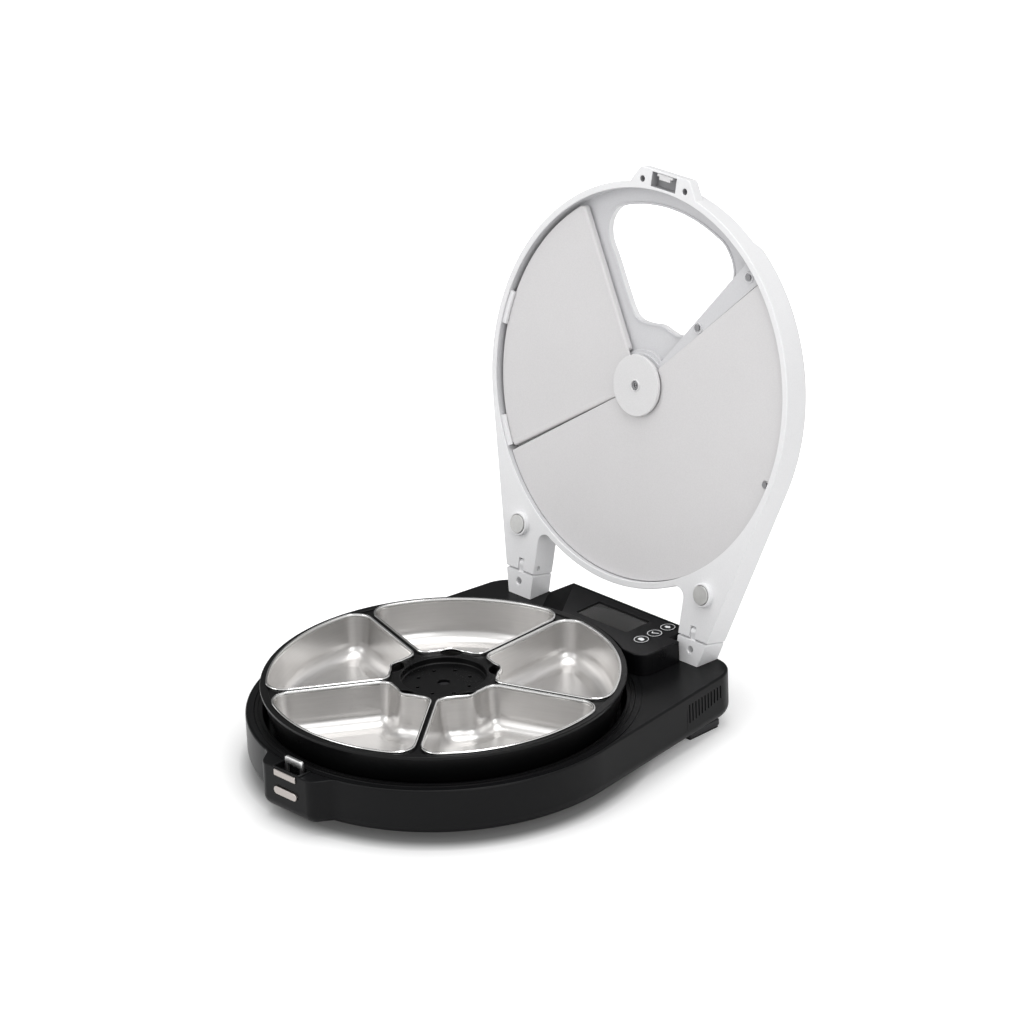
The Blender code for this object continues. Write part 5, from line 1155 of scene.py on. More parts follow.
@dataclass
class Turntable:
    """Tray with ribs, finger notches and a sunk centre, and its five bowls."""

    radius: float = 0.145
    top: float = 0.0695
    floor_z: float = 0.0348
    sink_r: float = 0.034
    sink_z: float = 0.063
    ring_z: float = 0.0686
    count: int = 5
    first: float = math.radians(56)
    bowl_in: float = 0.042
    bowl_out: float = 0.1405
    rim_z: float = 0.0709
    deep: float = 0.0347
    rim_w: float = 0.0019

    def tray_profile(self) -> list[Point]:
        """Section of the tray, from its centre hole outwards.

        Returns:
            Radius and height of each point.
        """
        lip = 0.0008
        points = [(0.005, self.sink_z - 0.0003), (0.0053, self.sink_z)]
        points += [(self.sink_r - 0.0012, self.sink_z)]
        points += arc((self.sink_r - 0.0012, self.sink_z + 0.0012), 0.0012, -math.pi / 2, 0, 3)
        points += arc((self.sink_r + 0.0009, self.ring_z - 0.0009), 0.0009, math.pi, math.pi / 2, 4)
        points += arc((0.0397, self.ring_z - 0.0010), 0.0010, math.pi / 2, math.radians(5), 4)
        points += [(0.0428, self.floor_z + 0.001), (0.044, self.floor_z), (0.132, self.floor_z),
                   (0.1334, self.floor_z + 0.0008), (0.1368, 0.0455)]
        points += arc((0.1388 + lip, self.top - lip), lip, math.pi, math.pi / 2, 4)
        points += arc((self.radius - lip, self.top - lip), lip, math.pi / 2, 0, 4)
        points += [(self.radius, self.top - 0.0024), (self.radius - 0.0004, self.top - 0.0029),
                   (0.1440, self.top - 0.0031), (0.139, DECK_Z), (0.136, self.floor_z + 0.0022)]
        under = self.floor_z - 0.0016
        roof = self.sink_z - 0.0024
        points += [(0.133, under), (0.030, under), (0.030, roof), (0.005, roof)]
        return points

    def angle(self, i: int) -> float:
        """Direction of one bowl."""
        return self.first + math.tau * i / self.count

    def tray(self) -> None:
        """Builds the tray."""
        tray = Solid.lathe(self.tray_profile())
        ribs, notches = [], []
        for i in range(self.count):
            rib = Solid.block((0.0353, -0.003, self.floor_z - 0.0008), (0.1345, 0.003, self.ring_z - HAIR),
                              0.0006)
            ribs.append(rib.turn(Matrix.Rotation(self.angle(i) + math.pi / self.count, 4, "Z")))
            finger = ring_points(0.010, MINOR, (0.0462, 0))
            notch = Solid.plug(finger, self.ring_z - 0.014, self.ring_z, 0.0006)
            notches.append(notch.turn(Matrix.Rotation(self.angle(i), 4, "Z")))
        tray.join(*ribs).settle()
        tray.join(self.web()).settle()
        tray.cut(Solid.bundle(notches)).settle()
        small = [Solid.plug(ring_points(0.0016, 20, (0.022 * math.cos(a), 0.022 * math.sin(a))),
                            self.sink_z - 0.0018, self.sink_z, 0.0004)
                 for a in (math.tau * (i + 0.5) / 8 for i in range(8))]
        tray.cut(Solid.bundle(small)).settle().turn(SHIFT)
        tray.piece("turntable_tray", "tray", FinishShelf.TRAY_BLACK, replaces=["tray"])

    def web(self) -> Solid:
        """Flat web that fills the gussets between the bowls, up to their rims.

        Returns:
            The web.
        """
        top = self.ring_z - 0.0002
        sheet = Solid.lathe([(0.0352, top - 0.0024), (0.1396, top - 0.0024), (0.1396, top), (0.0352, top)])
        sheet.turn(Matrix.Rotation(math.pi / ROUND, 4, "Z"))
        holes = []
        for i in range(self.count):
            plan = sector(self.bowl_in + 0.0018, self.bowl_out, math.pi / self.count, 0.0033,
                          0.009, 0.0145, 20)
            hole = Solid.prism(plan, top - 0.004, top + OVERRUN)
            holes.append(hole.turn(Matrix.Rotation(self.angle(i), 4, "Z")))
        return sheet.cut(Solid.bundle(holes)).settle()

    def sections(self) -> list[Point]:
        """Inset and depth from the curled rim to the floor.

        Returns:
            The sections, outermost first.
        """
        curl = 0.0008
        made = []
        for i in range(5):
            a = math.pi * i / 4
            made.append((self.rim_w / 2 * (1 - math.cos(a)) * 0.999, curl - curl * math.sin(a)))
        made = [(x, max(z, 0)) for x, z in made]
        foot = self.rim_w + 0.0009 + 0.0020
        fillet = 0.0105
        side = self.deep - fillet
        made += [(self.rim_w + 0.0004, 0.0026), (self.rim_w + 0.0009, side * 0.45),
                 (foot - 0.0002, side * 0.9)]
        for i in range(13):
            a = math.pi / 2 * i / 12
            made.append((foot + fillet * (1 - math.cos(a)), side + fillet * math.sin(a)))
        made += [(foot + fillet + 0.003, self.deep), (foot + fillet + 0.0050, self.deep - 0.0003),
                 (foot + fillet + 0.0064, self.deep - 0.0006), (foot + fillet + 0.0085, self.deep - 0.0007)]
        return made

    def bowl_outline(self, off: float) -> list[Point]:
        """Plan of one bowl about +X, its inner edge dipped for a finger.

        Args:
            off: How far it is moved inwards.

        Returns:
            The plan.
        """
        shrink = 0.016 / (0.016 + off)
        points = sector(self.bowl_in + off, self.bowl_out - off, math.pi / self.count, 0.0015 + off,
                        0.010 * shrink, 0.016 * shrink, 20)
        dip = 0.0030 * shrink
        made = []
        for x, y in points:
            r, a = math.hypot(x, y), math.atan2(y, x)
            near = max(0.0, 1 - (r - self.bowl_in - off) / 0.004) if r < self.bowl_in + off + 0.004 else 0
            wave = 0.5 + 0.5 * math.cos(min(math.pi, abs(a) * self.bowl_in / 0.0085 * math.pi / 1.25))
            push = dip * near * wave
            made.append((x + push * math.cos(a), y + push * math.sin(a)))
        return made

    def bowl(self, i: int) -> None:
        """Builds one bowl with a polished rim and a brushed inside.

        Args:
            i: Number of the bowl, from zero.
        """
        rings = [[(x, y, -deep) for x, y in self.bowl_outline(off)] for off, deep in self.sections()]
        bm = bmesh.new()
        made = [[bm.verts.new(p) for p in ring] for ring in rings]
        for k, (above, below) in enumerate(zip(made, made[1:])):
            for j in range(len(above)):
                n = (j + 1) % len(above)
                face = bm.faces.new((above[j], above[n], below[n], below[j]))
                face.material_index = 1 if k < 5 else 0
        bm.faces.new(made[-1])
        solid = Solid(bm)
        data = solid.item.data
        if data.polygons[-1].normal.z < 0:
            data.flip_normals()
        skin = solid.item.modifiers.new("Steel", "SOLIDIFY")
        skin.thickness = 0.0008
        skin.offset = -1
        solid.settle()
        solid.turn(SHIFT @ Matrix.Rotation(self.angle(i), 4, "Z") @ Matrix.Translation((0, 0, self.rim_z)))
        solid.piece(f"steel_bowl_{i + 1}", f"bowl_{i + 1}", FinishShelf.STEEL, FinishShelf.RIM_STEEL,
                    replaces=[f"bowl_{i + 1}"], keep_faces=True)

    def build(self) -> None:
        """Builds the tray and its bowls."""
        self.tray()
        for i in range(self.count):
            self.bowl(i)


@dataclass
class Console:
    """Control console behind the tray."""

    top: float = 0.0663
    right: float = 0.091
    front: float = 0.131
    rear: float = 0.194
    left: float = -0.078
    display: tuple[float, float, float, float] = (0.0197, 0.1687, 0.0575, 0.0265)
    button_x: float = 0.067
    button_ys: tuple[float, float, float] = (0.1537, 0.1688, 0.1839)

    def outline(self, off: float) -> list[Point]:
        """Plan of the housing.

        Args:
            off: How far it is moved inwards.

        Returns:
            The plan.
        """
        front_r = 0.148 + off
        corner = (self.right - 0.012, self.front + 0.012)
        points = arc((0, 0), front_r, math.radians(107.8), math.radians(62.5), 40)
        points += arc(corner, 0.012 - off, -math.pi / 2, 0, 12)
        points += [(self.right - off, 0.172 - off), (0.0815 - off, 0.172 - off)]
        points += arc((0.0765, self.rear - 0.005), 0.005 - off, 0, math.pi / 2, 6)
        points += [(self.left + off, self.rear - off), (self.left + off, 0.186)]
        return points

    def slope(self, shift: float, level: float) -> Solid:
        """Cutter above the sloping left end.

        Args:
            shift: How far it is moved aside.
            level: Height at which the slope starts.

        Returns:
            The cutter.
        """
        rear, front = Vector((-0.050, 0.194)), Vector((-0.017, 0.147))
        run = (rear - front).normalized()
        middle = (rear + front) / 2 + Vector((run.y, -run.x)) * shift
        block = Solid.block((-0.06, -0.03, 0), (0.06, 0.06, 0.06))
        yaw = Matrix.Rotation(math.atan2(run.y, run.x), 4, "Z")
        return block.turn(Matrix.Translation((middle.x, middle.y, level)) @ yaw
                          @ Matrix.Rotation(-math.radians(36), 4, "X"))

    def housing(self) -> None:
        """Builds the housing with its window and button holes."""
        x, y, w, h = self.display
        roof = self.top - 0.002
        body = Solid.prism(self.outline(0), DECK_Z + HAIR, self.top, 0, 0.0011, 4)
        body.cut(self.slope(0, self.top)).settle()
        hollow = Solid.prism(self.outline(0.002), DECK_Z - OVERRUN, roof)
        hollow.cut(self.slope(0.004, roof)).settle()
        body.cut(hollow)
        pane = Solid.plug(rounded(oblong(x - w / 2, y - h / 2, x + w / 2, y + h / 2), 0.0012, 4),
                          roof - OVERRUN, self.top, 0.0004)
        body.cut(pane)
        for by in self.button_ys:
            plan = ring_points(0.0069, MINOR, (self.button_x, by))
            body.cut(Solid.plug(plan, roof - OVERRUN, self.top, 0.0003))
        line = Solid.block((-0.046, self.rear - 0.0030, self.top - 0.0005),
                           (0.078, self.rear - 0.0024, self.top + OVERRUN))
        body.cut(line).settle().turn(SHIFT)
        for face in body.item.data.polygons:
            leans = 0.7 < face.normal.z < 0.9 and face.normal.x < -0.3
            face.material_index = int(leans and face.area > 0.00004)
        body.piece("console_case", "base", FinishShelf.GLOSS_BLACK, FinishShelf.MATT_BLACK,
                   replaces=["console_housing"], keep_faces=True)
        plan = oblong(x - w / 2 + HAIR, y - h / 2 + HAIR, x + w / 2 - HAIR, y + h / 2 - HAIR)
        pane = Solid.prism(rounded(plan, 0.001, 4), self.top - 0.0024, self.top - 0.001, 0, 0.0002, 2)
        pane.turn(SHIFT).piece("display_pane", "base", FinishShelf.GLASS, replaces=["display_window"])

    def icon(self, i: int) -> list[Point]:
        """Plain sign of one button, about its middle.

        Args:
            i: Number of the button, from the front.

        Returns:
            The sign's outline.
        """
        grow = 1.5
        bowl = [(-0.0017, -0.0013), (0.0017, -0.0013), (0.0019, 0.0006), (0.0006, 0.0014),
                (-0.0012, 0.0014), (-0.0020, 0.0004)]
        tick = [(-0.0022, 0.0004), (-0.0012, -0.0011), (0.0022, 0.0010), (0.0019, 0.0015),
                (-0.0011, -0.0002), (-0.0018, 0.0008)]
        arrow = [(-0.0019, 0.0006), (-0.0004, 0.0010), (-0.0002, 0.0018), (0.0020, 0.0000),
                 (-0.0004, -0.0017), (-0.0004, -0.0007), (-0.0017, -0.0009)]
        signs = ((bowl, 0.0006), (tick, 0.00015), (arrow, 0.0003))
        points, radius = signs[i]
        return rounded([(x * grow, y * grow) for x, y in points], radius, 3)

    def button(self, i: int) -> None:
        """Builds one button with its ring and sign.

        Args:
            i: Number of the button, from the front.
        """
        y = self.button_ys[i]
        low, top = self.top - 0.004, self.top + HAIR
        at = Matrix.Translation((self.button_x, y, 0))
        cap = Solid.rod(0.0066, low, top, edge=0.0004)
        cap.join(Solid.rod(0.0074, low, low + 0.0012)).settle().turn(SHIFT @ at)
        body = f"button_{i + 1}"
        cap.piece(f"button_cap_{i + 1}", body, FinishShelf.GLOSS_BLACK, replaces=[body])
        ring = Solid.lathe([(0.0055, top - 0.0001), (0.0055, top + 0.00006), (0.0060, top + 0.00006),
                            (0.0060, top - 0.0001)], MINOR * 2)
        sign = Solid.prism(self.icon(i), top - 0.0001, top + 0.00006)
        marks = Solid.bundle([ring, sign]).turn(SHIFT @ at)
        marks.piece(f"button_marks_{i + 1}", body, FinishShelf.PRINT)

    def build(self) -> None:
        """Builds the housing and the buttons."""
        self.housing()
        for i in range(len(self.button_ys)):
            self.button(i)


@dataclass
class Lid:
    """White lid with legs, window, panels, shutter and latch keeper."""

    open_angle: float = math.radians(103.3)
    hinge: Point = (0.185, 0.072)
    reach: float = 0.178
    rise: float = 0.005
    radius: float = 0.164
    thick: float = 0.025
    thin: float = 0.017
    cavity: float = 0.1585
    deck: float = 0.012
    skin: float = 0.0025
    leg_taper: float = math.radians(17.2)
    leg_inner: float = 0.083
    leg_end: float = 0.005
    boss_s: float = 0.1745
    boss_half: float = 0.027
    panel_deep: float = 0.0045
    lug_x: float = 0.0985
    step_first: float = math.radians(58)
    step_last: float = math.radians(122)
    step_slope: float = math.radians(5)
    magnet: Point = (0.105, -0.1448)
    panel_screw: Point = (0.1475, -0.0425)
    eye: Point = (0.0235, 0.1645)
    screw_bore: float = 0.00135
    pin_bore: float = 0.00215
    disc_r: float = 0.025
    panel_in: float = 0.0242
    boss_deep: float = 0.010
    leg_slim: float = 0.003
    slim_from: float = -0.120

    def matrix(self) -> Matrix:
        """Shared frame of the open lid: X right, Y to the latch, Z out of the rim face.

        Returns:
            The frame.
        """
        return (SHIFT @ Matrix.Translation((0, *self.hinge))
                @ Matrix.Rotation(math.pi - self.open_angle, 4, "X")
                @ Matrix.Translation((0, self.reach, self.rise)))

    def leg_outer(self, s: float) -> float:
        """Outer edge of a leg at a distance along the lid.

        Args:
            s: Distance from the lid's middle to the latch.

        Returns:
            The sideways place of the edge.
        """
        start = -self.radius * math.sin(self.leg_taper)
        return self.radius * math.cos(self.leg_taper) - (start - s) * math.tan(self.leg_taper)

    def outline(self) -> list[Point]:
        """Round lid with two legs towards the hinge.

        Returns:
            The lid's plan.
        """
        fillet = 0.008
        fx = self.leg_inner - fillet
        fs = -math.sqrt((self.radius + fillet) ** 2 - fx ** 2)
        toward, inner_angle = math.atan2(-fs, -fx), math.atan2(fs, fx)
        end = -self.reach - self.leg_end
        right = [(self.leg_outer(end), end)]
        inner_right = [(self.leg_inner, end)] + arc((fx, fs), fillet, 0, toward, 10)
        inner_left = [(-x, y) for x, y in inner_right]
        rim = arc((0, 0), self.radius, -self.leg_taper, math.pi + self.leg_taper, ROUND * 5 // 8)
        between = arc((0, 0), self.radius, -math.pi - inner_angle, inner_angle, 24)[1:-1]
        return rim + mirrored(right) + inner_left + between + inner_right[::-1] + right

    def window(self) -> list[Point]:
        """Outline of the feeding window, with a wavy lower edge.

        Returns:
            The outline.
        """
        points = [(p.x, p.y) for p in map(Vector, (
            (-0.0595, 0.1285), (-0.0630, 0.1180), (-0.0600, 0.1060), (-0.0500, 0.0925), (-0.0370, 0.0735),
            (-0.0245, 0.0565), (-0.0160, 0.0505), (-0.0040, 0.0500), (0.0090, 0.0515), (0.0200, 0.0490),
            (0.0290, 0.0480), (0.0390, 0.0525), (0.0530, 0.0675), (0.0660, 0.0855), (0.0755, 0.1020),
            (0.0765, 0.1110), (0.0725, 0.1205)))]
        outer = arc((0, 0), 0.1447, math.radians(64), math.radians(111.5), 10)
        return flowing(points + outer, 6)

    def shell(self) -> None:
        """Builds the shell."""
        end = -self.reach - self.leg_end
        body = Solid.prism(self.outline(), -self.thick, 0, 0.005, 0.0008, 6)
        run = self.slim_from - end
        wedge = Solid.block((-0.2, -0.2, -0.2), (0.2, 0, 0))
        wedge.turn(Matrix.Translation((0, self.slim_from, -self.thick))
                   @ Matrix.Rotation(math.atan2(self.leg_slim, run), 4, "X").inverted())
        boss = Solid.prism(self.boss_outline(), -self.boss_deep, 0, 0.0015, 0.0008, 4)
        body.cut(wedge).join(boss).cut(self.step()).settle()
        recess = Solid.plug(ring_points(self.cavity), -self.deck, 0, 0.0006)
        deep = Solid.prism(pie(0.0256, self.cavity, 136.6, 403.4), self.skin - self.thick,
                           OVERRUN - self.deck)
        pocket = Solid.rod(0.0205, self.skin - self.thick, OVERRUN - self.deck)
        body.cut(recess).settle()
        body.cut(deep, pocket).settle()
        self.beads(body)
        window = Solid.plug(self.window(), -self.thick - OVERRUN, 0.0010 - self.deck, 0.0007)
        body.cut(window).settle()
        self.bosses(body)
        self.holes(body)
        body.settle()
        self.paint_recess_shade(body)
        body.turn(self.matrix())
        # The second and third finishes are the lid's white darkened as painted shade in the recess and in the
        # keeper's pocket and eye bores
        body.piece("lid_case", "lid", FinishShelf.WHITE, FinishShelf.WHITE_PAINTED_SHADE, FinishShelf.POCKET_PAINTED_SHADE,
                   replaces=["lid_shell"], keep_faces=True)

    def beads(self, body: Solid) -> None:
        """Adds the window's bead and the steps behind the hub disc.

        Args:
            body: The shell.
        """
        root = -self.deck - 0.0005
        rim = Solid.prism(inset(self.window(), -0.0020), root, 0.0010 - self.deck, 0, 0.0006, 3)
        low_step = Solid.prism(pie(0.0215, 0.0286, 47, 133), root, -0.0085, 0, 0.0005, 3)
        high_step = Solid.prism(pie(0.0215, 0.0257, 47, 133), root, -0.0066, 0, 0.0005, 3)
        body.join(rim).settle()
        body.join(low_step).settle()
        body.join(high_step).settle()

    def paint_recess_shade(self, body: Solid) -> None:
        """Gives the recess faces a darker white and the keeper's pocket and eye bores a grey, as painted
        shade.

        Args:
            body: The shell.
        """
        for face in body.item.data.polygons:
            x, y, z = face.center
            bore = math.hypot(abs(x) - self.eye[0], y - self.eye[1]) < 0.0029
            # Painted shade: pocket and eye-bore faces take the grey, other faces inside the recess take the
            # darker white
            if -0.0095 < z < -0.0007 and (bore or (abs(x) < 0.01362 and 0.1606 < y < 0.1728)):
                face.material_index = 2
            elif -0.0127 < z < -0.0007 and math.hypot(x, y) < self.cavity + 0.0002:
                face.material_index = 1
            else:
                face.material_index = 0

    def step(self) -> Solid:
        """Cutter behind the thin sector, whose ends slope softly.

        Returns:
            The cutter.
        """
        rings = [(1.0, -self.thick - OVERRUN)]
        for i in range(11):
            u = i / 10
            rings.append((1 - u, -self.thick + (self.thick - self.thin) * u * u * (3 - 2 * u)))
        made = []
        for share, z in rings:
            first, last = self.step_first - share * self.step_slope, self.step_last + share * self.step_slope
            plan = arc((0, 0), self.radius + self.thick, first, last, 60)
            plan += arc((0, 0), 0.045, last, first, 30)
            made.append([(x, y, z) for x, y in plan])
        return Solid.loft(made)

    def boss_outline(self) -> list[Point]:
        """Plan of the boss at the latch.

        Returns:
            The plan.
        """
        back = (self.cavity + self.radius) / 2
        low = math.sqrt(back ** 2 - 0.0375 ** 2)
        right = [(0.0375, low), (0.0375, 0.1585), (self.boss_half, self.boss_s)]
        return rounded(right + mirrored(right), [0, 0.003, 0.005, 0.005, 0.003, 0], 6)

    def beside(self, side: Side, spot: Point) -> Point:
        """A place on one side of the lid's middle."""
        return side.value * spot[0], spot[1]

    def side_screws(self) -> list[Point]:
        """Places of the side plate's screws.

        Returns:
            The two places.
        """
        a = math.radians(49)
        return [(r * math.cos(a), r * math.sin(a)) for r in (0.0800, 0.1495)]

    def bosses(self, body: Solid) -> None:
        """Adds the magnet rings and the screw bosses.

        Args:
            body: The shell.
        """
        for side in Side:
            body.join(Solid.rod(0.0098, -0.0015, 0.0042, self.beside(side, self.magnet), 0.0007))
        under = -self.panel_deep - 0.0025 - HAIR
        body.join(Solid.rod(0.004, -self.thick + self.skin / 2, under, self.panel_screw))
        for spot in self.side_screws():
            body.join(Solid.rod(0.004, -self.deck - self.skin / 2, -self.panel_deep - 0.004 - HAIR, spot))
        body.settle()

    def holes(self, body: Solid) -> None:
        """Cuts the keeper recess, bores, magnet seats and hinge slots.

        Args:
            body: The shell.
        """
        recess = Solid.plug(oblong(-0.0135, 0.1607, 0.0135, 0.1727), -0.008, 0, 0.0003)
        body.cut(recess)
        for spot in self.side_screws() + [self.panel_screw]:
            body.cut(Solid.rod(self.screw_bore, -0.0127, OVERRUN, spot, steps=16))
        for side in Side:
            v = side.value
            seat = ring_points(0.0081, MINOR, self.beside(side, self.magnet))
            body.cut(Solid.plug(seat, -0.0015, 0.0042, 0.0003))
            body.cut(Solid.plug(ring_points(0.0026, 32, self.beside(side, self.eye)), -0.006, 0, 0.0006))
            slot = Solid.block((v * self.lug_x - 0.0030, -self.reach - self.leg_end - OVERRUN, -0.0116),
                               (v * self.lug_x + 0.0030, 0.0052 - self.reach, OVERRUN))
            bore = Solid.rod(self.pin_bore, -0.0138, 0.0135 + self.lug_x, steps=24)
            bore.turn(Matrix.Translation((v * self.lug_x, -self.reach, -self.rise))
                      @ Matrix.Rotation(-v * math.pi / 2, 4, "Y"))
            body.cut(slot, bore)

    def flat(self, outline: Sequence[Point], low: float, top: float, edge: float) -> Solid:
        """A panel with a rounded upper edge."""
        return Solid.prism(outline, low, top, 0, edge, 3)

    def panels(self) -> None:
        """Builds the fixed panels."""
        edge = self.cavity - 0.0005
        top = -self.panel_deep
        main = self.flat(pie(self.panel_in, edge, -145.5, 45), top - 0.0025, top, 0.0006)
        main.cut(Solid.plug(ring_points(0.0032, 24, self.panel_screw), top - 0.0012, top, 0.0003))
        main.cut(Solid.rod(self.screw_bore, -0.02, OVERRUN, self.panel_screw, steps=16))
        main.cut(Solid.prism(pie(0.1563, 0.16, 11, 43), top - 0.004, top + OVERRUN))
        main.settle().turn(self.matrix())
        main.piece("main_cover", "lid", FinishShelf.PANEL, replaces=["main_panel"])
        side_top = top - 0.002
        plate = self.flat(pie(self.panel_in, edge, 45.4, 53), side_top - 0.002, side_top, 0.0004)
        for spot in self.side_screws():
            at = Matrix.Translation((*spot, 0))
            lip = Solid.lathe([(r, side_top + up) for r, up in (
                (0.0034, -0.0005), (0.0034, 0.0007), (0.0037, 0.0010), (0.0044, 0.0010), (0.0047, 0.0007),
                (0.0047, -0.0005))], MINOR).turn(at)
            plate.join(lip).settle()
            plate.cut(Solid.rod(self.screw_bore, -0.02, OVERRUN, spot, steps=16))
        plate.settle().turn(self.matrix())
        # The side cover and the shutter floor take the lid's white darkened as painted shade of the recess
        plate.piece("side_cover", "lid", FinishShelf.WHITE_PAINTED_SHADE, replaces=["side_plate"])
        fixed = self.flat(pie(0.026, edge, 137, 214.5), -0.0136, -self.deck, 0.0002).turn(self.matrix())
        fixed.piece("shutter_floor", "lid", FinishShelf.WHITE_PAINTED_SHADE, replaces=["shutter_deck"])

    def shutter(self) -> None:
        """Builds the shutter with its rounded flanges, and the hub disc."""
        top = -self.panel_deep
        start, end = math.radians(124), math.radians(213.6)
        leaf = sector(0.0171, 0.155, (end - start) / 2, 0.0022, 0.001, 0.002, 60)
        plate = self.flat(spun(leaf, (start + end) / 2), top - 0.0016, top, 0.0003)
        ring = Solid.lathe([(0.0083, top - 0.0016), (0.0232, top - 0.0016), (0.0232, -0.0038),
                            (0.0229, -0.0035), (0.0083, -0.0035)], 96)
        plate.join(ring)
        for angle, side in ((start, 1), (end, -1)):
            low, high = sorted((0, side * 0.0052))
            wall = Solid.block((0.0302, low, -self.deck + 0.0013), (0.1545, high, top + 0.0003), 0.0016)
            plate.join(wall.turn(Matrix.Rotation(angle, 4, "Z"))).settle()
            lead = Solid.block((0.0222, low + 0.0002 * side, top - 0.0017),
                               (0.0320, high, top + 0.0002), 0.0006)
            plate.join(lead.turn(Matrix.Rotation(angle, 4, "Z"))).settle()
        plate.settle().turn(self.matrix())
        plate.piece("shutter_leaf", "shutter", FinishShelf.PANEL, replaces=["shutter"])
        disc = Solid.rod(self.disc_r, -0.0032, -0.0002, edge=0.0007, steps=128)
        disc.join(Solid.rod(0.008, -0.0084, -0.0017), Solid.rod(0.0050, -0.0010, 0.0007, edge=0.0005))
        disc.cut(Solid.plug(ring_points(0.0039, MINOR), -0.0017, 0.0007, 0.0003))
        disc.cut(Solid.rod(0.00265, -0.02, -0.0032)).cut(Solid.rod(self.screw_bore, -0.02, OVERRUN, steps=16))
        disc.settle().turn(self.matrix())
        disc.piece("hub_cap", "shutter", FinishShelf.HUB, replaces=["hub_disc"])
        screw = Solid.rod(0.0036, -0.0016, -0.0001, edge=0.0005)
        screw.join(Solid.rod(0.0012, -0.0070, -0.0012, steps=24))
        screw.cut(Solid.plug(ring_points(0.0019, 24), -0.0030, -0.0001, 0.0004))
        screw.settle().turn(self.matrix())
        screw.piece("hub_bolt", "shutter", FinishShelf.SCREW, replaces=["hub_screw"])

    def fittings(self) -> None:
        """Builds the keeper, the magnets and the rim clips."""
        tab = Solid.block((-0.0085, 0.1700, -0.0077), (0.0085, 0.1724, -0.0006), 0.0004)
        tab.join(Solid.block((-0.006, 0.1676, -0.0026), (0.006, 0.1712, -0.0006), 0.0003)).settle()
        tab.turn(self.matrix()).piece("keeper", "lid", FinishShelf.HUB, replaces=["lid_keeper"])
        for side in Side:
            disc = Solid.rod(0.0078, -0.0012, 0.005, self.beside(side, self.magnet), 0.0004)
            name = "magnet_" + side.name.lower()
            disc.turn(self.matrix()).piece(name + "_face", "lid", FinishShelf.MAGNET, replaces=[name])
        for i, (a0, a1) in enumerate(((165, 175.5), (203.5, 213))):
            clip = Solid.prism(pie(0.1545, 0.1587, a0, a1), -0.0040, -0.0018, 0, 0.0004, 2)
            clip.turn(self.matrix()).piece(f"rim_clip_{i + 1}", "lid", FinishShelf.WHITE)

    def build(self) -> None:
        """Builds every piece of the lid."""
        self.shell()
        self.panels()
        self.shutter()
        self.fittings()


@dataclass
class Posts:
    """The two fixed feet of the lid's legs, with their hinge lugs."""

    lid: Lid
    lug_half: float = 0.0026
    lug_r: float = 0.0046

    def post(self, side: Side) -> None:
        """Builds one post.

        Args:
            side: Which side it stands on.
        """
        lid = self.lid
        v = side.value
        top = -lid.reach - lid.leg_end - 0.0004
        low = -0.215
        outline = [(lid.leg_inner, top), (lid.leg_inner, low), (lid.leg_outer(low), low),
                   (lid.leg_outer(top), top)]
        if v < 0:
            outline = mirrored(outline)
        outline = rounded(outline, 0.002, 4)
        post = Solid.prism(outline, -0.022, 0, 0.0012, 0.0008, 4)
        hole = Solid.plug(ring_points(0.0028, 32, (v * lid.lug_x, -0.1925)), -0.008, 0, 0.0008)
        local = SHIFT.inverted() @ lid.matrix()
        post.turn(local).cut(hole.turn(local))
        hy, hz = lid.hinge
        deck = Solid.block((-0.2, hy - 0.2, -0.2), (0.2, hy + 0.2, DECK_Z + HAIR))
        stop_z = hz - 0.0054
        stop = Solid.block((-0.2, hy - 0.2, stop_z), (0.2, hy, hz + 0.005))
        post.cut(deck, stop).settle()
        middle = v * lid.lug_x
        half, lug_r = self.lug_half, self.lug_r
        neck = Solid.block((middle - half, hy - lug_r, stop_z - lug_r), (middle + half, hy + lug_r, hz))
        across = Matrix.Translation((middle, hy, hz)) @ Matrix.Rotation(math.pi / 2, 4, "Y")
        lug = Solid.rod(lug_r, -half, half, edge=0.0003).turn(across)
        bore = Solid.rod(lid.pin_bore, -0.1, 0.05, steps=24).turn(across)
        post.join(neck, lug).cut(bore).settle().turn(SHIFT)
        name = "hinge_post_" + side.name.lower()
        post.piece(name + "_foot", "base", FinishShelf.WHITE, replaces=[name])

    def build(self) -> None:
        """Builds both posts."""
        for side in Side:
            self.post(side)


class CarriedOver:
    """Nodes whose shape stays, with the finish of each."""

    FINISHES: dict[str, PlasticFinish | MetalFinish] = {
        "foot_pad_": FinishShelf.RUBBER, "base_screw_": FinishShelf.SCREW, "panel_screw_": FinishShelf.SCREW,
        "hinge_pin_": FinishShelf.BRIGHT, "well_insulation": FinishShelf.FOAM,
        "floor_insulation": FinishShelf.FOAM, "lid_insulation": FinishShelf.FOAM,
        "cold_plate": FinishShelf.ALUMINIUM, "heat_sink": FinishShelf.ALUMINIUM,
        "drive_motor": FinishShelf.ALUMINIUM, "shutter_motor": FinishShelf.ALUMINIUM,
        "thermoelectric_module": FinishShelf.CERAMIC, "drive_hub": FinishShelf.CHARCOAL,
        "console_board": FinishShelf.BOARD, "control_board": FinishShelf.BOARD,
        "fan_": FinishShelf.WELL_BLACK, "power_inlet": FinishShelf.WELL_BLACK,
        "display_module": FinishShelf.SCREEN,
    }

    def build(self) -> None:
        """Dresses each carried-over node."""
        for name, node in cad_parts.items():
            for start, finish in self.FINISHES.items():
                if name.startswith(start):
                    SHELF.dress(node, finish)
                    LOG.info("%s keeps its shape, in %s", name, finish.name)


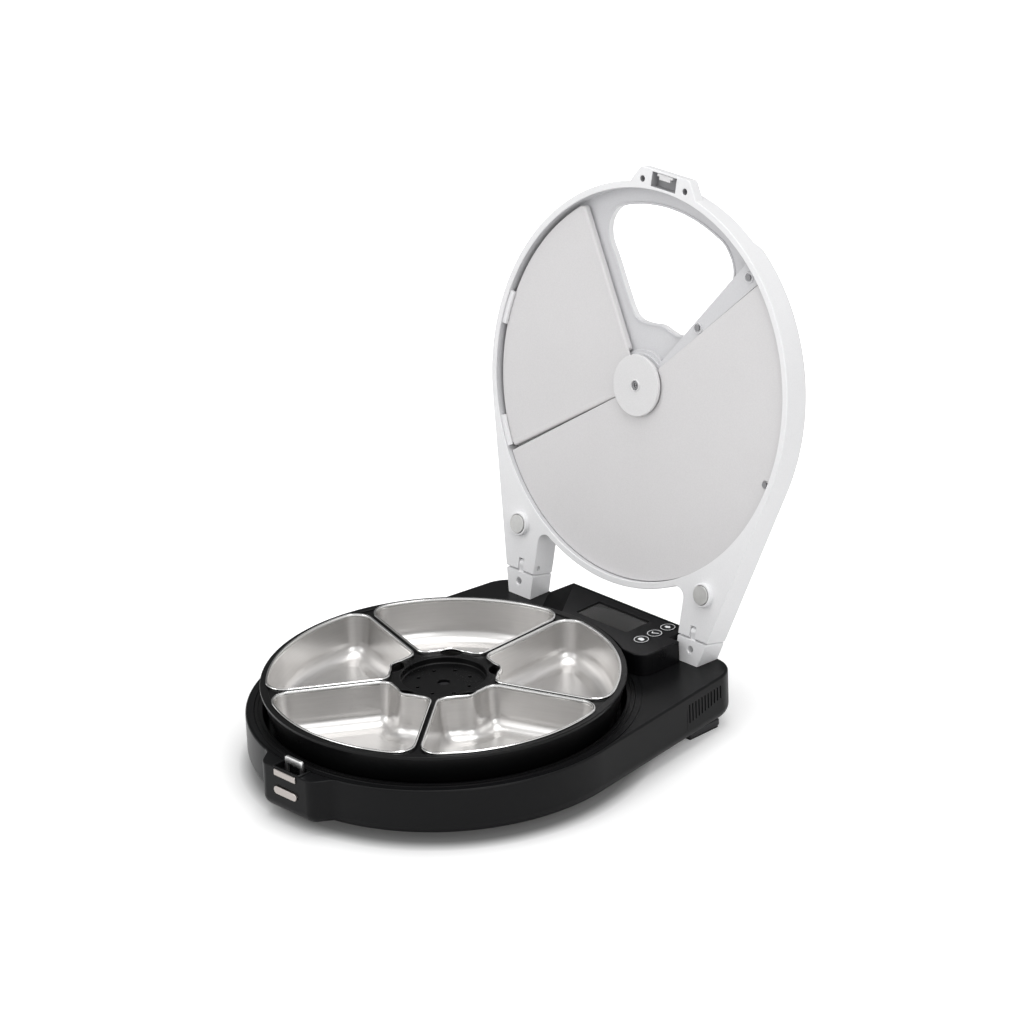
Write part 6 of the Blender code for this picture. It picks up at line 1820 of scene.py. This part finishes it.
@dataclass
class Studio:
    """Floor, world, lamps and the camera at the photograph's angle."""

    azimuth: float = math.radians(47.08)
    elevation: float = math.radians(23.99)
    roll: float = math.radians(-2.35)
    lens: float = 175.78
    place: tuple[float, float, float] = (2.6385, -2.425744, 1.7859)
    floor_side: float = 14.0
    front_light: float = 0.30
    back_light: float = -0.40
    soft_light: float = 0.58
    aim: tuple[float, float, float] = (0, 0, 0.12)
    lamps: tuple[tuple[str, tuple[float, float, float], float, float], ...] = (
        ("side", (2.1, -0.6, 1.6), 1.4, 12), ("front", (-1.0, -2.0, 1.5), 1.8, 15),
        ("overhead", (0.0, 0.1, 2.3), 1.5, 22))

    def floor(self) -> None:
        """Builds the pale floor, which keeps the feeder's shadow and has a painted dark shadow patch under
        its round front.
        """
        bm = bmesh.new()
        bmesh.ops.create_grid(bm, x_segments=2, y_segments=2, size=self.floor_side / 2)
        mesh = bpy.data.meshes.new("floor")
        bm.to_mesh(mesh)
        bm.free()
        item = bpy.data.objects.new("floor", mesh)
        bpy.context.scene.collection.objects.link(item)
        item.location.z = -0.0002
        made = bpy.data.materials.new("floor_paper")
        made.use_nodes = True
        wiring = Wiring(made.node_tree)
        shader = made.node_tree.nodes["Principled BSDF"]
        shader.inputs["Roughness"].default_value = 0.9
        shader.inputs["Specular IOR Level"].default_value = 0.1
        seen = wiring.add("ShaderNodeLightPath").outputs["Is Camera Ray"]
        away = wiring.add("ShaderNodeVectorMath", operation="DISTANCE")
        wiring.feed(away.inputs[0], wiring.add("ShaderNodeTexCoord").outputs["Object"])
        away.inputs[1].default_value = (0, -0.053, 0)
        # Painted contact shadow: the floor's colour falls from 0.93 to 0.26 inside 0.150 to 0.166 m of the
        # turntable's axis, under the feeder's round front
        painted_shadow_fade = wiring.spread(away.outputs["Value"], 0.150, 0.166, 0.0, 1.0)
        paper_with_painted_shadow = wiring.blend(painted_shadow_fade, (0.26, 0.26, 0.26, 1), (0.93, 0.93, 0.93, 1))
        wiring.feed(shader.inputs["Base Color"], paper_with_painted_shadow)
        glow = wiring.spread(away.outputs["Value"], 0.16, 0.45, 0.06, 0.8)
        shader.inputs["Emission Color"].default_value = (1, 1, 1, 1)
        wiring.feed(shader.inputs["Emission Strength"], wiring.maths("MULTIPLY", seen, glow))
        mesh.materials.append(made)

    def world(self) -> None:
        """White where the camera, metal or glass sees it, softer as a light."""
        world = bpy.data.worlds.new("studio")
        bpy.context.scene.world = world
        world.use_nodes = True
        wiring = Wiring(world.node_tree)
        background = world.node_tree.nodes["Background"]
        background.inputs["Color"].default_value = (1, 1, 1, 1)
        path = wiring.add("ShaderNodeLightPath")
        direct = wiring.maths("MAXIMUM", path.outputs["Is Camera Ray"], path.outputs["Is Transmission Ray"])
        toward = wiring.add("ShaderNodeVectorMath", operation="DOT_PRODUCT")
        wiring.feed(toward.inputs[0], wiring.add("ShaderNodeTexCoord").outputs["Generated"])
        toward.inputs[1].default_value = (0.732, -0.681, 0)
        more = wiring.spread(toward.outputs["Value"], -0.8, 0.3, self.back_light, self.front_light)
        indirect = wiring.maths("MULTIPLY_ADD", path.outputs["Is Glossy Ray"], more, self.soft_light)
        lit = wiring.maths("MULTIPLY_ADD", direct, 1 - self.soft_light, indirect)
        wiring.feed(background.inputs["Strength"], lit)

    def lamp(self, name: str, place: Sequence[float], size: float, watts: float) -> None:
        """Adds a square area lamp that faces the feeder.

        Args:
            name: Lamp name.
            place: Where it hangs.
            size: Side of the square.
            watts: Its power.
        """
        light = bpy.data.lights.new(name, "AREA")
        light.size = size
        light.energy = watts
        item = bpy.data.objects.new(name, light)
        item.location = place
        item.rotation_euler = (Vector(self.aim) - Vector(place)).to_track_quat("-Z", "Y").to_euler()
        bpy.context.scene.collection.objects.link(item)

    def camera(self) -> None:
        """Places the camera."""
        data = bpy.data.cameras.new("photo_camera")
        data.lens = self.lens
        data.sensor_width = 36
        data.clip_end = 50
        item = bpy.data.objects.new("photo_camera", data)
        a, e, r = self.azimuth, self.elevation, self.roll
        back = Vector((math.sin(a) * math.cos(e), -math.cos(a) * math.cos(e), math.sin(e)))
        right = Vector((math.cos(a), math.sin(a), 0))
        up = back.cross(right)
        x_axis = right * math.cos(r) + up * math.sin(r)
        y_axis = up * math.cos(r) - right * math.sin(r)
        turned = Matrix((x_axis, y_axis, back)).transposed().to_4x4()
        item.matrix_world = Matrix.Translation(self.place) @ turned
        bpy.context.scene.collection.objects.link(item)
        bpy.context.scene.camera = item

    def build(self) -> None:
        """Sets up the studio."""
        self.camera()
        self.floor()
        self.world()
        for name, spot, size, watts in self.lamps:
            self.lamp(name, spot, size, watts)
        bpy.context.scene.view_settings.view_transform = "Standard"


def main() -> None:
    """Builds the studio and every sub-assembly."""
    logging.basicConfig(level=logging.INFO, format="%(message)s")
    lid = Lid()
    for part in (Studio(), Base(), Well(), Turntable(), Console(), lid, Posts(lid), CarriedOver()):
        LOG.info("building %s", type(part).__name__)
        part.build()
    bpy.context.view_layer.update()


if __name__ == "__main__":
    main()
